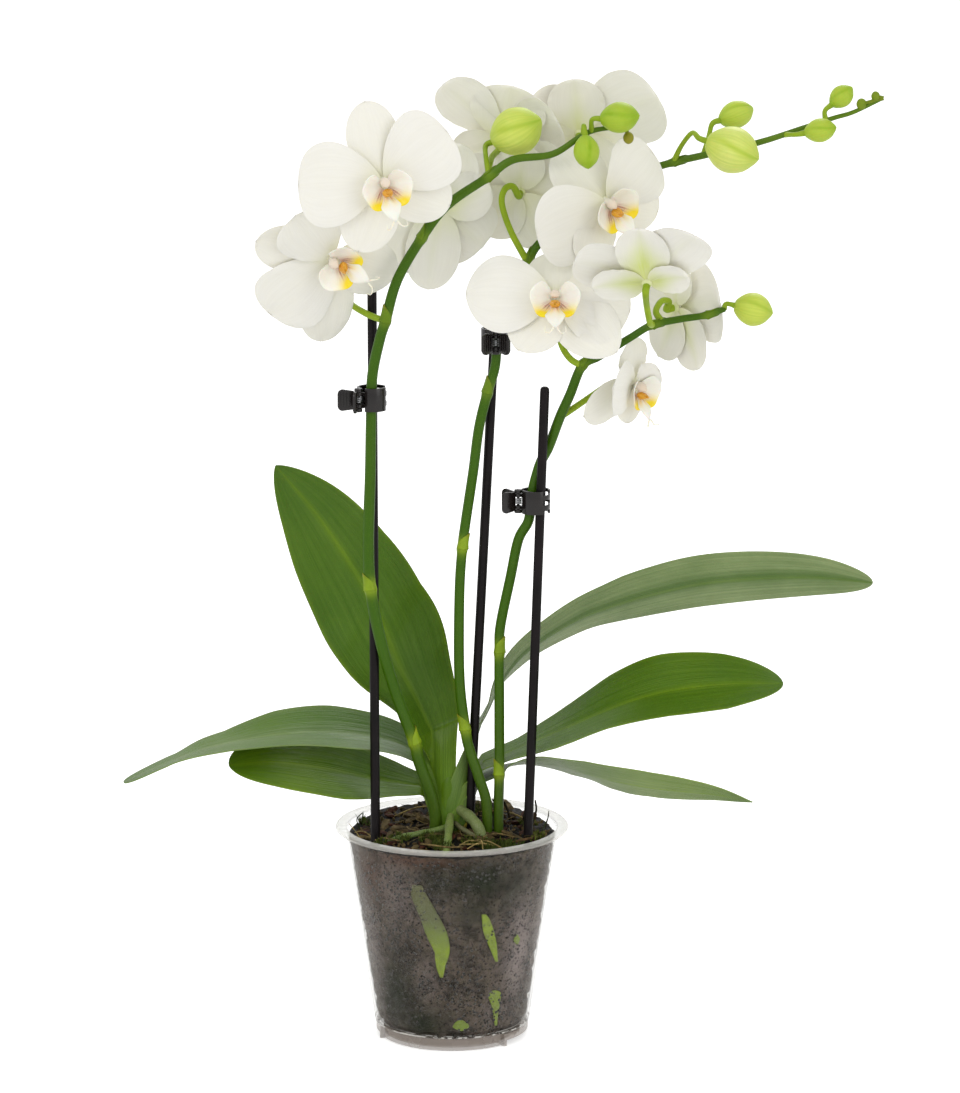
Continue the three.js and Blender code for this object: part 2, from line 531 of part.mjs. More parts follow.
function flowerMatrix({ at, face: [yaw, pitch, roll] }) {
  const [y, p, r] = [yaw, pitch, roll].map(radians);
  const level = new THREE.Vector3(Math.sin(y), -Math.cos(y), 0);
  const right = new THREE.Vector3(Math.cos(y), Math.sin(y), 0);
  const upright = new THREE.Vector3(0, 0, 1);
  const out = level.clone().multiplyScalar(Math.cos(p)).addScaledVector(upright, Math.sin(p));
  const up = upright.clone().multiplyScalar(Math.cos(p)).addScaledVector(level, -Math.sin(p));
  const x = right.clone().multiplyScalar(Math.cos(r)).addScaledVector(up, Math.sin(r));
  const z = up.clone().multiplyScalar(Math.cos(r)).addScaledVector(right, -Math.sin(r));
  return new THREE.Matrix4().makeBasis(x, z, out).setPosition(vector(at));
}

const SEPAL = { swell: 0.62, close: 0.5, rows: 4 };
const PETAL = { swell: 0.85, close: 0.42, rows: 5 };
const TEPAL_FORMS = {
  back: { ...SEPAL, cup: -0.03, front: 0 },
  petalLeft: { ...PETAL, cup: 0.02, front: TEPAL.petalFront },
  petalRight: { ...PETAL, cup: 0.02, front: TEPAL.petalFront },
  sideLeft: { ...SEPAL, cup: -0.03, front: 0 },
  sideRight: { ...SEPAL, cup: -0.03, front: 0 },
};

function tepalSolid(form, [angle, length, width, lift, curl]) {
  const radial = new THREE.Vector3(Math.cos(radians(angle)), Math.sin(radians(angle)), 0);
  const side = new THREE.Vector3(-radial.y, radial.x, 0);
  const out = new THREE.Vector3(0, 0, 1);
  const [start, bend] = [radians(lift), radians(curl)];
  const reach = (length - TEPAL.start) / bend;
  const grid = [];
  for (let i = 0; i <= form.rows; i += 1) {
    const u = 1 - (1 - i / form.rows) ** TEPAL.crowding;
    const slope = start + bend * u;
    const centre = radial.clone().multiplyScalar(TEPAL.start + reach * (Math.sin(slope) - Math.sin(start)))
      .addScaledVector(out, form.front + reach * (Math.cos(start) - Math.cos(slope)));
    const normal = out.clone().multiplyScalar(Math.cos(slope)).addScaledVector(radial, -Math.sin(slope));
    const half = Math.max(halfWidth(u, TEPAL.base, width, form.swell, form.close), TEPAL.tipHalf);
    grid.push([-1, 0, 1].map((v) => centre.clone().addScaledVector(side, half * v)
      .addScaledVector(normal, form.cup * half * v * v)));
  }
  return blade(grid, () => TEPAL.thickness);
}

function flowerSolid(flower) {
  const tepals = Object.entries(flower.tepals)
    .map(([name, values]) => tepalSolid(TEPAL_FORMS[name], values));
  const cup = cylinder(TEPAL.cup, [-TEPAL.cup, TEPAL.petalFront + 1], 5);
  const column = cylinder(COLUMN.radius, [COLUMN.bottom, COLUMN.top], COLUMN.sides);
  return placed(joinAll([...tepals, cup, column]).simplify(TEPAL.smooth), flowerMatrix(flower));
}

function lipBlade({ spine, halves }, mirror) {
  const curve = curveThrough(spine.map(([x, y, z]) => [x * mirror, y, z]));
  const grid = halves.map((half, i) => {
    const t = i / (halves.length - 1);
    const centre = curve.getPoint(t);
    const side = curve.getTangent(t).cross(new THREE.Vector3(0, 0, 1)).normalize();
    return [-1, 1].map((v) => centre.clone().addScaledVector(side, half * v));
  });
  return blade(grid, () => LIP.thickness);
}

function lipSolid(flower) {
  const { half, at } = LIP.lump;
  const lump = solidFromGeometry(new THREE.OctahedronGeometry(1, 0).scale(...half).translate(...at));
  const pieces = [lump, lipBlade(LIP.middle, 1), lipBlade(LIP.lobe, 1), lipBlade(LIP.lobe, -1)];
  const size = flower.lipSize ?? 1;
  return placed(joinAll(pieces).simplify(LIP.smooth).scale(size), flowerMatrix(flower));
}

// ---- buds and spikes ----------------------------------------------------------------------

function budSolid({ at, tip, size: [length, width] }) {
  const profile = [[0, -0.5], [0.2, -0.46], [0.43, -0.24], [0.5, 0.02], [0.38, 0.28], [0.14, 0.45],
    [0, 0.5]];
  const egg = revolve(profile.map(([r, z]) => [r * width, z * length]), 6);
  const axis = new THREE.Vector3(0, 0, 1);
  const turn = new THREE.Quaternion().setFromUnitVectors(axis, vector(tip).normalize());
  return placed(egg, new THREE.Matrix4().makeRotationFromQuaternion(turn).setPosition(vector(at)));
}

// a flower stalk stops just short of the back of its flower, a bud stalk just short of its bud
function flowerStalk(flower) {
  const matrix = flowerMatrix(flower);
  const behind = (distance) => new THREE.Vector3(0, 0, -distance).applyMatrix4(matrix).toArray();
  return tube([...flower.via, behind(TEPAL.cup + 4), behind(TEPAL.cup + GAP)], [1.7, 1.5, 1.7], STALK_SIDES);
}

function budStalk({ at, tip, size: [length], from, via = [] }) {
  const behind = (distance) =>
    vector(at).addScaledVector(vector(tip).normalize(), -length / 2 - distance).toArray();
  return tube([from, ...via, behind(4), behind(GAP)], [1.3, 1.2], STALK_SIDES);
}

// the stem's line with three closer places at every node, where it swells
function stemLine({ points, radii, joints }) {
  const line = points.map(vector);
  const lengths = [0];
  line.slice(1).forEach((point, i) => lengths.push(lengths[i] + point.distanceTo(line[i])));
  const at = (length) => {
    const after = Math.max(lengths.findIndex((value) => value >= length), 1);
    const share = (length - lengths[after - 1]) / (lengths[after] - lengths[after - 1]);
    return {
      length, point: line[after - 1].clone().lerp(line[after], share).toArray(),
      radius: mix(radii[after - 1], radii[after], share),
    };
  };
  const nodes = joints.map((joint) => lengths[points.findIndex((point) => point.join() === joint.join())]);
  const plain = lengths.filter((length) => nodes.every((node) => Math.abs(node - length) > NODE.half + 1));
  const places = plain.map(at);
  nodes.forEach((node) => [-1, 0, 1].forEach((end) => {
    const place = at(node + end * NODE.half);
    places.push({ ...place, radius: place.radius + (end === 0 ? NODE.swell : 0) });
  }));
  return places.sort((a, b) => a.length - b.length);
}

function spikeSolid(name) {
  const stem = SPIKES[name];
  const belongs = (entry) => entry.spike === name;
  const line = stemLine(stem);
  const pieces = [
    tube(line.map(({ point }) => point), line.map(({ radius }) => radius), STEM_SIDES),
    ...Object.values(FLOWERS).filter(belongs).map(flowerStalk),
    ...Object.values(BUDS).filter(belongs).map(budStalk),
    ...stem.tips.map(([x, y, z, r]) =>
      solidFromGeometry(new THREE.OctahedronGeometry(r, 0).translate(x, y, z))),
  ];
  return joinAll(pieces).simplify(STEM_SMOOTH);
}

// ---- spring clips -------------------------------------------------------------------------

// Each clip's own frame: the claws' ring round the origin, the hinge at -X, the hinge pin along Z.
// The fixed jaw is the +Y half and the moving jaw is the -Y half.
const HALF_CLIP = CLIP.height / 2;
const HINGE_AT = [-CLIP.hinge, 0, 0];
const bothEnds = ([inner, outer]) => [[inner, outer], [-outer, -inner]];

function padSolid() {
  const outline = new THREE.Shape();
  const [length, half] = [CLIP.padLength, CLIP.padHeight / 2];
  outline.moveTo(1.5, -half);
  outline.lineTo(length - 3, -half);
  outline.quadraticCurveTo(length, -half, length, -half + 3);
  outline.lineTo(length, half - 3);
  outline.quadraticCurveTo(length, half, length - 3, half);
  outline.lineTo(1.5, half);
  const settings = { depth: CLIP.padThickness, bevelEnabled: false, curveSegments: 1 };
  const plate = new THREE.ExtrudeGeometry(outline, settings);
  plate.rotateX(Math.PI / 2).translate(0, CLIP.padThickness / 2, 0);
  return solidFromGeometry(plate).rotate([0, 0, 180 - CLIP.padAngle]).translate(HINGE_AT);
}

// the +Y half: a plate round the ring, its prongs across the front, and its finger pad
function jawPlates(prongs) {
  const whole = [-HALF_CLIP, HALF_CLIP];
  const arc = ringSector(CLIP.ringInner, CLIP.ringOuter, [CLIP.prongStart, CLIP.ringEnd], whole, 2);
  const teeth = prongs.map((level) =>
    ringSector(CLIP.ringInner, CLIP.ringOuter, [CLIP.prongEnd, CLIP.prongStart + 5], level, 1));
  return joinAll([arc, ...teeth, padSolid()]);
}

function hingeDrum(radius, level) {
  return cylinder(radius, level, 6).translate(HINGE_AT);
}

function fixedJaw() {
  const plates = jawPlates(CLIP.fixedProngs)
    .subtract(hingeDrum(CLIP.knuckleRoom, [-CLIP.fixedKnuckle[0] + 0.1, CLIP.fixedKnuckle[0] - 0.1]));
  const knuckles = bothEnds(CLIP.fixedKnuckle).map((level) => hingeDrum(CLIP.knuckleRadius, level));
  const pin = hingeDrum(CLIP.pin, [-HALF_CLIP, HALF_CLIP]);
  return joinAll([plates, ...knuckles, pin]).simplify(CLIP.smooth);
}

function movingJaw() {
  const [low, high] = CLIP.movingKnuckle;
  let plates = jawPlates(CLIP.movingProngs).mirror([0, 1, 0]);
  bothEnds([high + 0.05, HALF_CLIP + 1]).forEach((level) => {
    plates = plates.subtract(hingeDrum(CLIP.knuckleRoom, level));
  });
  plates = plates.subtract(hingeDrum(CLIP.knuckleRoom, [-CLIP.springRoom, CLIP.springRoom]));
  const knuckles = bothEnds([low, high]).map((level) => hingeDrum(CLIP.knuckleRadius, level));
  const bore = hingeDrum(CLIP.bore, [-HALF_CLIP - 1, HALF_CLIP + 1]);
  return joinAll([plates, ...knuckles]).subtract(bore).simplify(CLIP.smooth);
}

function clipSpring() {
  const count = CLIP.coilTurns * CLIP.coilSteps;
  const points = Array.from({ length: count + 1 }, (_, i) => {
    const turn = (2 * Math.PI * i) / CLIP.coilSteps;
    const height = CLIP.coilHeight * (i / count - 0.5);
    return [CLIP.coilRadius * Math.cos(turn) + HINGE_AT[0], CLIP.coilRadius * Math.sin(turn), height];
  });
  return tube(points, [CLIP.wire, CLIP.wire], 3);
}

function clipPlace(solid, { at, turn }) {
  return solid.rotate([0, 0, turn]).translate(at);
}

// ---- the assembled plant ------------------------------------------------------------------

function material(color, roughness, metalness = 0, opacity = 1) {
  return new THREE.MeshStandardMaterial({ color, roughness, metalness, opacity, transparent: opacity < 1 });
}

const MATERIALS = {
  pot: material(COLOURS.pot, 0.3, 0, 0.45),
  medium: material(COLOURS.medium, 0.95),
  root: material(COLOURS.root, 0.6),
  leaf: material(COLOURS.leaf, 0.45),
  stem: material(COLOURS.stem, 0.5),
  stick: material(COLOURS.stick, 0.4),
  clip: material(COLOURS.clip, 0.3),
  spring: material(COLOURS.spring, 0.3, 1),
  petal: material(COLOURS.petal, 0.6),
  lip: material(COLOURS.lip, 0.5),
  bud: material(COLOURS.bud, 0.5),
};

const orchid = new THREE.Group();

function addPiece(name, solid, look) {
  const { vertProperties, triVerts, numProp } = solid.getMesh();
  const positions = new Float32Array((vertProperties.length / numProp) * 3);
  for (let i = 0; i < positions.length / 3; i += 1) {
    positions.set(vertProperties.slice(i * numProp, i * numProp + 3), i * 3);
  }
  const shape = new THREE.BufferGeometry();
  shape.setAttribute('position', new THREE.BufferAttribute(positions, 3));
  shape.setIndex(Array.from(triVerts));
  shape.computeVertexNormals();
  const mesh = new THREE.Mesh(shape, MATERIALS[look]);
  mesh.name = name;
  orchid.add(mesh);
}

addPiece('pot', pot(), 'pot');
addPiece('growing_medium', growingMedium(), 'medium');
addPiece('crown_and_roots', crownAndRoots(), 'root');
Object.entries(LEAVES).forEach(([name, leaf]) => addPiece(`leaf_${name}`, leafSolid(leaf), 'leaf'));
Object.keys(SPIKES).forEach((name) => addPiece(`spike_${name}`, spikeSolid(name), 'stem'));
Object.entries(STICKS).forEach(([name, stick]) => addPiece(`stick_${name}`, stickSolid(stick, 0), 'stick'));
Object.entries(CLIPS).forEach(([name, clip]) => {
  addPiece(`clip_${name}_fixed_jaw`, clipPlace(fixedJaw(), clip), 'clip');
  addPiece(`clip_${name}_moving_jaw`, clipPlace(movingJaw(), clip), 'clip');
  addPiece(`clip_${name}_spring`, clipPlace(clipSpring(), clip), 'spring');
});
Object.entries(FLOWERS).forEach(([name, flower]) => {
  addPiece(`flower_${name}`, flowerSolid(flower), 'petal');
  addPiece(`lip_${name}`, lipSolid(flower), 'lip');
});
Object.entries(BUDS).forEach(([name, bud]) => addPiece(`bud_${name}`, budSolid(bud), 'bud'));

export default orchid;
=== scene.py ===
import math
import random

import bmesh
import bpy
import numpy as np
from mathutils import Matrix, Vector


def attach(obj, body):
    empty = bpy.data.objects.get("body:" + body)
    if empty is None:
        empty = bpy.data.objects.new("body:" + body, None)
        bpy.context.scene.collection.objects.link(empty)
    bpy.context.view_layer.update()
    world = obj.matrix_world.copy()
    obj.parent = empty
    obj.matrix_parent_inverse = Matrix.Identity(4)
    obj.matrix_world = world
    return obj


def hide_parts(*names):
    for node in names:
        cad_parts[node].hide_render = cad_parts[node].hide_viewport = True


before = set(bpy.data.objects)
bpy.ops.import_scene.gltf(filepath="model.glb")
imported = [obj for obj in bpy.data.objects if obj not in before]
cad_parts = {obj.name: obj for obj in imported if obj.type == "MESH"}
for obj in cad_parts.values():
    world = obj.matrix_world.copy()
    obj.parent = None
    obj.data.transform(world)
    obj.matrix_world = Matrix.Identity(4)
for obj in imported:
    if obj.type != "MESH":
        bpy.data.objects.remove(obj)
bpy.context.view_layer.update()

mm = 0.001
plantBody = "plant"
untinted = (0, 0, 0, 0)
up = np.array([0.0, 0.0, 1.0])
scene = bpy.context.scene


# colours are given as they look on screen, 0 to 255
def tone(red, green, blue, alpha=1.0):
    linear = [((c / 255 + 0.055) / 1.055) ** 2.4 if c > 10 else c / 255 / 12.92 for c in (red, green, blue)]
    return (*linear, alpha)


def mix(a, b, t):
    return a + (b - a) * t


def bell(x, width):
    return np.exp(-(x / width) ** 2)


def unit(v):
    return v / np.maximum(np.linalg.norm(v, axis=-1, keepdims=True), 1e-9)


def alongList(values, t):
    return np.interp(t, np.linspace(0, 1, len(values)), values)


def tintsAlong(values, t):
    return np.stack([alongList([value[k] for value in values], t) for k in range(4)], axis=-1)


def roundTurn(sides):
    return np.arange(sides) * 2 * math.pi / sides


def heading(degrees):
    return np.array([math.cos(math.radians(degrees)), math.sin(math.radians(degrees)), 0])


def lengthAlong(line):
    return np.concatenate([[0], np.cumsum(np.linalg.norm(np.diff(line, axis=0), axis=1))])


# a uniform Catmull-Rom curve, the same one the CAD uses
def curveThrough(points):
    p = np.array(points, float)
    ends = np.vstack([2 * p[0] - p[1], p, 2 * p[-1] - p[-2]])

    def at(t):
        place = np.clip(np.atleast_1d(t), 0, 1) * (len(p) - 1)
        i = np.minimum(place.astype(int), len(p) - 2)
        w = (place - i)[:, None]
        a, b, c, d = (ends[i + k] for k in range(4))
        return 0.5 * (2 * b + (c - a) * w + (2 * a - 5 * b + 4 * c - d) * w ** 2
                      + (3 * b - a - 3 * c + d) * w ** 3)

    return at


def evenly(curve, shares, samples=500):
    t = np.linspace(0, 1, samples)
    line = curve(t)
    length = lengthAlong(line)
    places = np.interp(np.array(shares) * length[-1], length, t)
    step = 1e-3
    ahead = curve(np.minimum(places + step, 1)) - curve(np.maximum(places - step, 0))
    return curve(places), unit(ahead)


def evenProfile(points, rows):
    return evenly(curveThrough(points), np.linspace(0, 1, rows))[0]


def part(points, faces, uv=None, tint=untinted):
    points = np.array(points, float).reshape(-1, 3)
    uv = np.zeros((len(points), 2)) if uv is None else np.array(uv, float).reshape(-1, 2)
    tint = np.array(tint, float)
    tint = np.tile(tint, (len(points), 1)) if tint.ndim == 1 else tint.reshape(-1, 4)
    return {"points": points, "faces": faces, "uv": uv, "tint": tint}


def moved(piece, matrix):
    matrix = np.array(matrix)
    points = piece["points"] @ matrix[:3, :3].T + matrix[:3, 3]
    return {**piece, "points": points}


# a closed skin on both sides of a grid of points
def sheet(grid, half, tint, backTint=None):
    rows, columns = grid.shape[:2]
    normal = unit(np.cross(np.gradient(grid, axis=0), np.gradient(grid, axis=1)))
    front = grid + normal * half[..., None]
    back = grid - normal * half[..., None]
    index = np.arange(rows * columns).reshape(rows, columns)
    below = rows * columns
    faces = []
    for i in range(rows - 1):
        for j in range(columns - 1):
            corners = (index[i, j], index[i + 1, j], index[i + 1, j + 1], index[i, j + 1])
            a, b, c, d = (int(corner) for corner in corners)
            faces += [[a, b, c, d], [a + below, d + below, c + below, b + below]]
    border = [*index[0, :-1], *index[:-1, -1], *index[-1, :0:-1], *index[:0:-1, 0]]
    border = [int(n) for n in border]
    for a, b in zip(border, border[1:] + border[:1]):
        faces.append([a, a + below, b + below, b])
    v, u = np.meshgrid(np.linspace(0, 1, columns), np.linspace(0, 1, rows))
    uv = np.stack([v, u], axis=-1).reshape(-1, 2)
    backTint = tint if backTint is None else backTint
    return part(np.concatenate([front.reshape(-1, 3), back.reshape(-1, 3)]), faces,
                np.concatenate([uv, uv]), np.concatenate([tint.reshape(-1, 4), backTint.reshape(-1, 4)]))


def ringFaces(count, sides):
    faces = []
    for i in range(count - 1):
        for j in range(sides):
            a, b = i * sides + j, i * sides + (j + 1) % sides
            faces.append([a, b, b + sides, a + sides])
    return faces


# a closed skin through rings of points, with a point at each end
def loft(rings, tint):
    rings = np.array(rings, float)
    count, sides = rings.shape[:2]
    points = np.concatenate([rings.reshape(-1, 3), rings[0].mean(0)[None], rings[-1].mean(0)[None]])
    faces = ringFaces(count, sides)
    first, last = count * sides, count * sides + 1
    for j in range(sides):
        faces.append([first, (j + 1) % sides, j])
        faces.append([last, (count - 1) * sides + j, (count - 1) * sides + (j + 1) % sides])
    around, along = np.meshgrid(np.arange(sides) / sides, np.linspace(0, 1, count))
    uv = np.concatenate([np.stack([around, along], -1).reshape(-1, 2), [[0.5, 0], [0.5, 1]]])
    tint = np.array(tint, float)
    if tint.ndim == 2:
        tint = np.concatenate([np.repeat(tint, sides, axis=0), tint[:1], tint[-1:]])
    return part(points, faces, uv, tint)


def revolve(profile, sides, tint=untinted):
    rings = [[(r * math.cos(a), r * math.sin(a), z) for a in roundTurn(sides)] for r, z in profile]
    return loft(rings, tint)


# a revolved ring whose profile is closed, such as a collar or the wall of the pot
def revolveClosed(profile, sides):
    points = [(r * math.cos(a), r * math.sin(a), z) for r, z in profile for a in roundTurn(sides)]
    return part(points, [[k % len(points) for k in face] for face in ringFaces(len(profile) + 1, sides)])


def ringSector(inner, outer, angles, levels, steps=24):
    turn = np.radians(np.linspace(angles[0], angles[1], steps + 1))
    sweeps = ((outer, turn), (inner, turn[::-1]))
    arc = [(r * math.cos(a), r * math.sin(a)) for r, order in sweeps for a in order]
    return prism(arc, levels)


def prism(outline, levels):
    count = len(outline)
    points = [(x, y, z) for z in levels for x, y in outline]
    faces = [list(range(count))[::-1], list(range(count, 2 * count))]
    faces += [[j, (j + 1) % count, (j + 1) % count + count, j + count] for j in range(count)]
    return part(points, faces)


def meshFrom(name, parts, smooth=True):
    faces = []
    offset = 0
    for piece in parts:
        faces += [[i + offset for i in face] for face in piece["faces"]]
        offset += len(piece["points"])
    points = np.concatenate([piece["points"] for piece in parts]) * mm
    mesh = bpy.data.meshes.new(name)
    mesh.from_pydata(points.tolist(), [], faces)
    shell = bmesh.new()
    shell.from_mesh(mesh)
    bmesh.ops.recalc_face_normals(shell, faces=shell.faces)
    shell.to_mesh(mesh)
    shell.free()
    corners = np.empty(len(mesh.loops), np.int32)
    mesh.loops.foreach_get("vertex_index", corners)
    layer = mesh.uv_layers.new(name="UVMap")
    layer.data.foreach_set("uv", np.concatenate([piece["uv"] for piece in parts])[corners].ravel())
    tint = mesh.color_attributes.new("tint", "FLOAT_COLOR", "POINT")
    tint.data.foreach_set("color", np.concatenate([piece["tint"] for piece in parts]).ravel())
    mesh.polygons.foreach_set("use_smooth", [smooth] * len(mesh.polygons))
    return mesh


def objectFrom(name, mesh, material=None):
    made = bpy.data.objects.new(name, mesh)
    scene.collection.objects.link(made)
    if material:
        mesh.materials.clear()
        mesh.materials.append(material)
    return made


def formed(name, parts, material=None, smooth=True):
    return objectFrom(name, meshFrom(name, parts, smooth), material)


# the evaluated mesh of an object becomes a plain mesh, and the object with its modifiers goes
def baked(source, name=None):
    bpy.context.view_layer.update()
    mesh = bpy.data.meshes.new_from_object(source.evaluated_get(bpy.context.evaluated_depsgraph_get()))
    name = name or source.name
    source.name = "spent"
    materials = [slot.material for slot in source.material_slots]
    bpy.data.objects.remove(source)
    made = objectFrom(name, mesh)
    if not mesh.materials:
        for material in materials:
            mesh.materials.append(material)
    return made


def actingOn(objects):
    return bpy.context.temp_override(active_object=objects[0], selected_editable_objects=objects,
                                     object=objects[0])


def joined(name, objects):
    with actingOn(objects):
        bpy.ops.object.join()
    objects[0].name = name
    return objects[0]


def smoothed(made, degrees):
    made.data.polygons.foreach_set("use_smooth", [True] * len(made.data.polygons))
    with actingOn([made]):
        bpy.ops.object.shade_smooth_by_angle(angle=math.radians(degrees))
    return baked(made)


def place(piece, body, slot, *nodes):
    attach(piece, body)
    if nodes:
        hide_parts(*nodes)
    return piece


def feed(tree, socket, value):
    if isinstance(value, bpy.types.NodeSocket):
        tree.links.new(value, socket)
    else:
        socket.default_value = value


def node(tree, kind, values=None, **settings):
    made = tree.nodes.new(kind)
    for key, value in settings.items():
        setattr(made, key, value)
    for key, value in (values or {}).items():
        feed(tree, made.inputs[key], value)
    return made


def reckon(tree, operation, *values, **settings):
    return node(tree, "ShaderNodeMath", dict(enumerate(values)), operation=operation, **settings).outputs[0]


def ranged(tree, value, start, end, low=0.0, high=1.0):
    ends = {"From Min": start, "From Max": end, "To Min": low, "To Max": high}
    return node(tree, "ShaderNodeMapRange", {"Value": value, **ends}).outputs[0]


# a mix node's two colours are its inputs 6 and 7
def blended(tree, share, first, second):
    return node(tree, "ShaderNodeMix", {0: share, 6: first, 7: second}, data_type="RGBA").outputs[2]


# a number makes an input with that default, a word names the kind of socket
def group(name, kind, inputs, outputs):
    tree = bpy.data.node_groups.new(name, kind)
    for title, value in inputs.items():
        socket = {float: "Float", int: "Int"}.get(type(value), value)
        made = tree.interface.new_socket(name=title, in_out="INPUT", socket_type="NodeSocket" + socket)
        if socket is not value:
            made.default_value = value
    for title, socket in outputs.items():
        tree.interface.new_socket(name=title, in_out="OUTPUT", socket_type="NodeSocket" + socket)
    return tree, tree.nodes.new("NodeGroupInput").outputs, tree.nodes.new("NodeGroupOutput").inputs


def growingGroup(name, inputs):
    sockets = {"Geometry": "Geometry", **inputs, "Finish": "Material"}
    return group(name, "GeometryNodeTree", sockets, {"Geometry": "Geometry"})


# every growing group ends in real geometry with one material
def ended(tree, given, out, geometry):
    real = node(tree, "GeometryNodeRealizeInstances", {"Geometry": geometry})
    done = node(tree, "GeometryNodeSetMaterial", {"Geometry": real.outputs[0], "Material": given["Finish"]})
    feed(tree, out["Geometry"], done.outputs[0])
    return tree


def grow(source, tree, values, name):
    modifier = source.modifiers.new("grow", "NODES")
    modifier.node_group = tree
    for item in tree.interface.items_tree:
        if item.item_type == "SOCKET" and item.in_out == "INPUT" and item.name in values:
            modifier[item.identifier] = values[item.name]
    return baked(source, name)


# lines with a thickness at every point become round stems
def makeSweepTree():
    tree, given, out = growingGroup("sweepLines", {"Sides": 12})
    line = node(tree, "GeometryNodeMeshToCurve", {"Mesh": given["Geometry"]})
    girth = node(tree, "GeometryNodeInputNamedAttribute", {"Name": "girth"}, data_type="FLOAT")
    ring = node(tree, "GeometryNodeCurvePrimitiveCircle", {"Resolution": given["Sides"], "Radius": 1.0})
    skin = node(tree, "GeometryNodeCurveToMesh", {
        "Curve": line.outputs[0], "Profile Curve": ring.outputs["Curve"],
        "Scale": girth.outputs["Attribute"], "Fill Caps": True})
    soft = node(tree, "GeometryNodeSetShadeSmooth", {"Geometry": skin.outputs[0]})
    return ended(tree, given, out, soft.outputs[0])


# small shapes spread over a surface, each turned and sized at random
def makeScatterTree():
    tree, given, out = growingGroup("scatterOver", {
        "Shape": "Object", "Density": 1000.0, "Seed": 1, "Smallest": 0.6, "Largest": 1.4, "Tilt": 0.5})
    spots = node(tree, "GeometryNodeDistributePointsOnFaces", {
        "Mesh": given["Geometry"], "Density": given["Density"], "Seed": given["Seed"]})
    shape = node(tree, "GeometryNodeObjectInfo", {"Object": given["Shape"], "As Instance": True})
    # a random value's limits are inputs 0 and 1 for vectors, 2 and 3 for floats, and its seed is input 8
    limits = {2: given["Smallest"], 3: given["Largest"], 8: given["Seed"]}
    size = node(tree, "FunctionNodeRandomValue", limits, data_type="FLOAT")
    negative = reckon(tree, "MULTIPLY", given["Tilt"], -1.0)
    lowest = node(tree, "ShaderNodeCombineXYZ", {"X": negative, "Y": negative, "Z": -math.pi})
    highest = node(tree, "ShaderNodeCombineXYZ", {"X": given["Tilt"], "Y": given["Tilt"], "Z": math.pi})
    limits = {0: lowest.outputs[0], 1: highest.outputs[0], 8: given["Seed"]}
    turn = node(tree, "FunctionNodeRandomValue", limits, data_type="FLOAT_VECTOR")
    laid = node(tree, "FunctionNodeRotateRotation", {0: spots.outputs["Rotation"], 1: turn.outputs[0]},
                rotation_space="LOCAL")
    spread = node(tree, "GeometryNodeInstanceOnPoints", {
        "Points": spots.outputs["Points"], "Instance": shape.outputs["Geometry"],
        "Rotation": laid.outputs[0], "Scale": size.outputs[1]})
    return ended(tree, given, out, spread.outputs[0])


# a surface pressed in between lumps, as packed bark is
def makeLumpTree():
    tree, given, out = growingGroup("packedLumps", {"Scale": 120.0, "Depth": 0.001})
    flatShare = 0.75
    where = node(tree, "GeometryNodeInputPosition").outputs[0]
    cells = node(tree, "ShaderNodeTexVoronoi", {"Vector": where, "Scale": given["Scale"]})
    grain = node(tree, "ShaderNodeTexNoise", {"Vector": where, "Scale": given["Scale"], "Detail": 4.0})
    total = reckon(tree, "ADD", cells.outputs["Distance"], grain.outputs[0])
    past = reckon(tree, "MAXIMUM", reckon(tree, "SUBTRACT", total, flatShare), 0.0)
    back = reckon(tree, "MULTIPLY", reckon(tree, "MULTIPLY", past, given["Depth"]), -1.0)
    normal = node(tree, "GeometryNodeInputNormal")
    push = node(tree, "ShaderNodeVectorMath", {0: normal.outputs[0], "Scale": back}, operation="SCALE")
    pressed = node(tree, "GeometryNodeSetPosition", {"Geometry": given["Geometry"], "Offset": push.outputs[0]})
    return ended(tree, given, out, pressed.outputs[0])


sweepTree, scatterTree, lumpTree = makeSweepTree(), makeScatterTree(), makeLumpTree()


# strands: lists of points, radii and tints, all in millimetres
def sweep(name, strands, sides, material):
    points, edges, girth, tint = [], [], [], []
    for strand in strands:
        first = len(points)
        line = np.array(strand["points"], float)
        points += (line * mm).tolist()
        edges += [(first + i, first + i + 1) for i in range(len(line) - 1)]
        girth += (np.array(strand["radii"], float) * mm).tolist()
        colour = np.array(strand.get("tint", untinted), float)
        tint += (np.tile(colour, (len(line), 1)) if colour.ndim == 1 else colour).ravel().tolist()
    mesh = bpy.data.meshes.new(name)
    mesh.from_pydata(points, edges, [])
    mesh.attributes.new("girth", "FLOAT", "POINT").data.foreach_set("value", girth)
    mesh.attributes.new("tint", "FLOAT_COLOR", "POINT").data.foreach_set("color", tint)
    return grow(objectFrom(name + "Line", mesh), sweepTree, {"Sides": sides, "Finish": material}, name)


# the tint stored at every point mixes three more tones into the base one
def makeTinted():
    titles = ("Base", "First", "Second", "Third")
    tree, given, out = group("tinted", "ShaderNodeTree", dict.fromkeys(titles, "Color"),
                             {"Color": "Color", "Last": "Float"})
    stored = node(tree, "ShaderNodeAttribute", attribute_name="tint")
    split = node(tree, "ShaderNodeSeparateColor", {0: stored.outputs["Color"]})
    colour = given["Base"]
    for channel, title in enumerate(titles[1:]):
        colour = blended(tree, split.outputs[channel], colour, given[title])
    feed(tree, out["Color"], colour)
    feed(tree, out["Last"], stored.outputs["Alpha"])
    return tree


# a group that lays a second colour over the first one by a mask
def overlayGroup(name, second, inputs):
    sockets = {"Color": "Color", second: "Color", **inputs}
    return group(name, "ShaderNodeTree", sockets, {"Color": "Color", "Mask": "Float"})


def overlaid(tree, given, out, mask, second, **settings):
    share = reckon(tree, "MULTIPLY", mask, given["Amount"], **settings)
    feed(tree, out["Color"], blended(tree, share, given["Color"], given[second]))
    return share


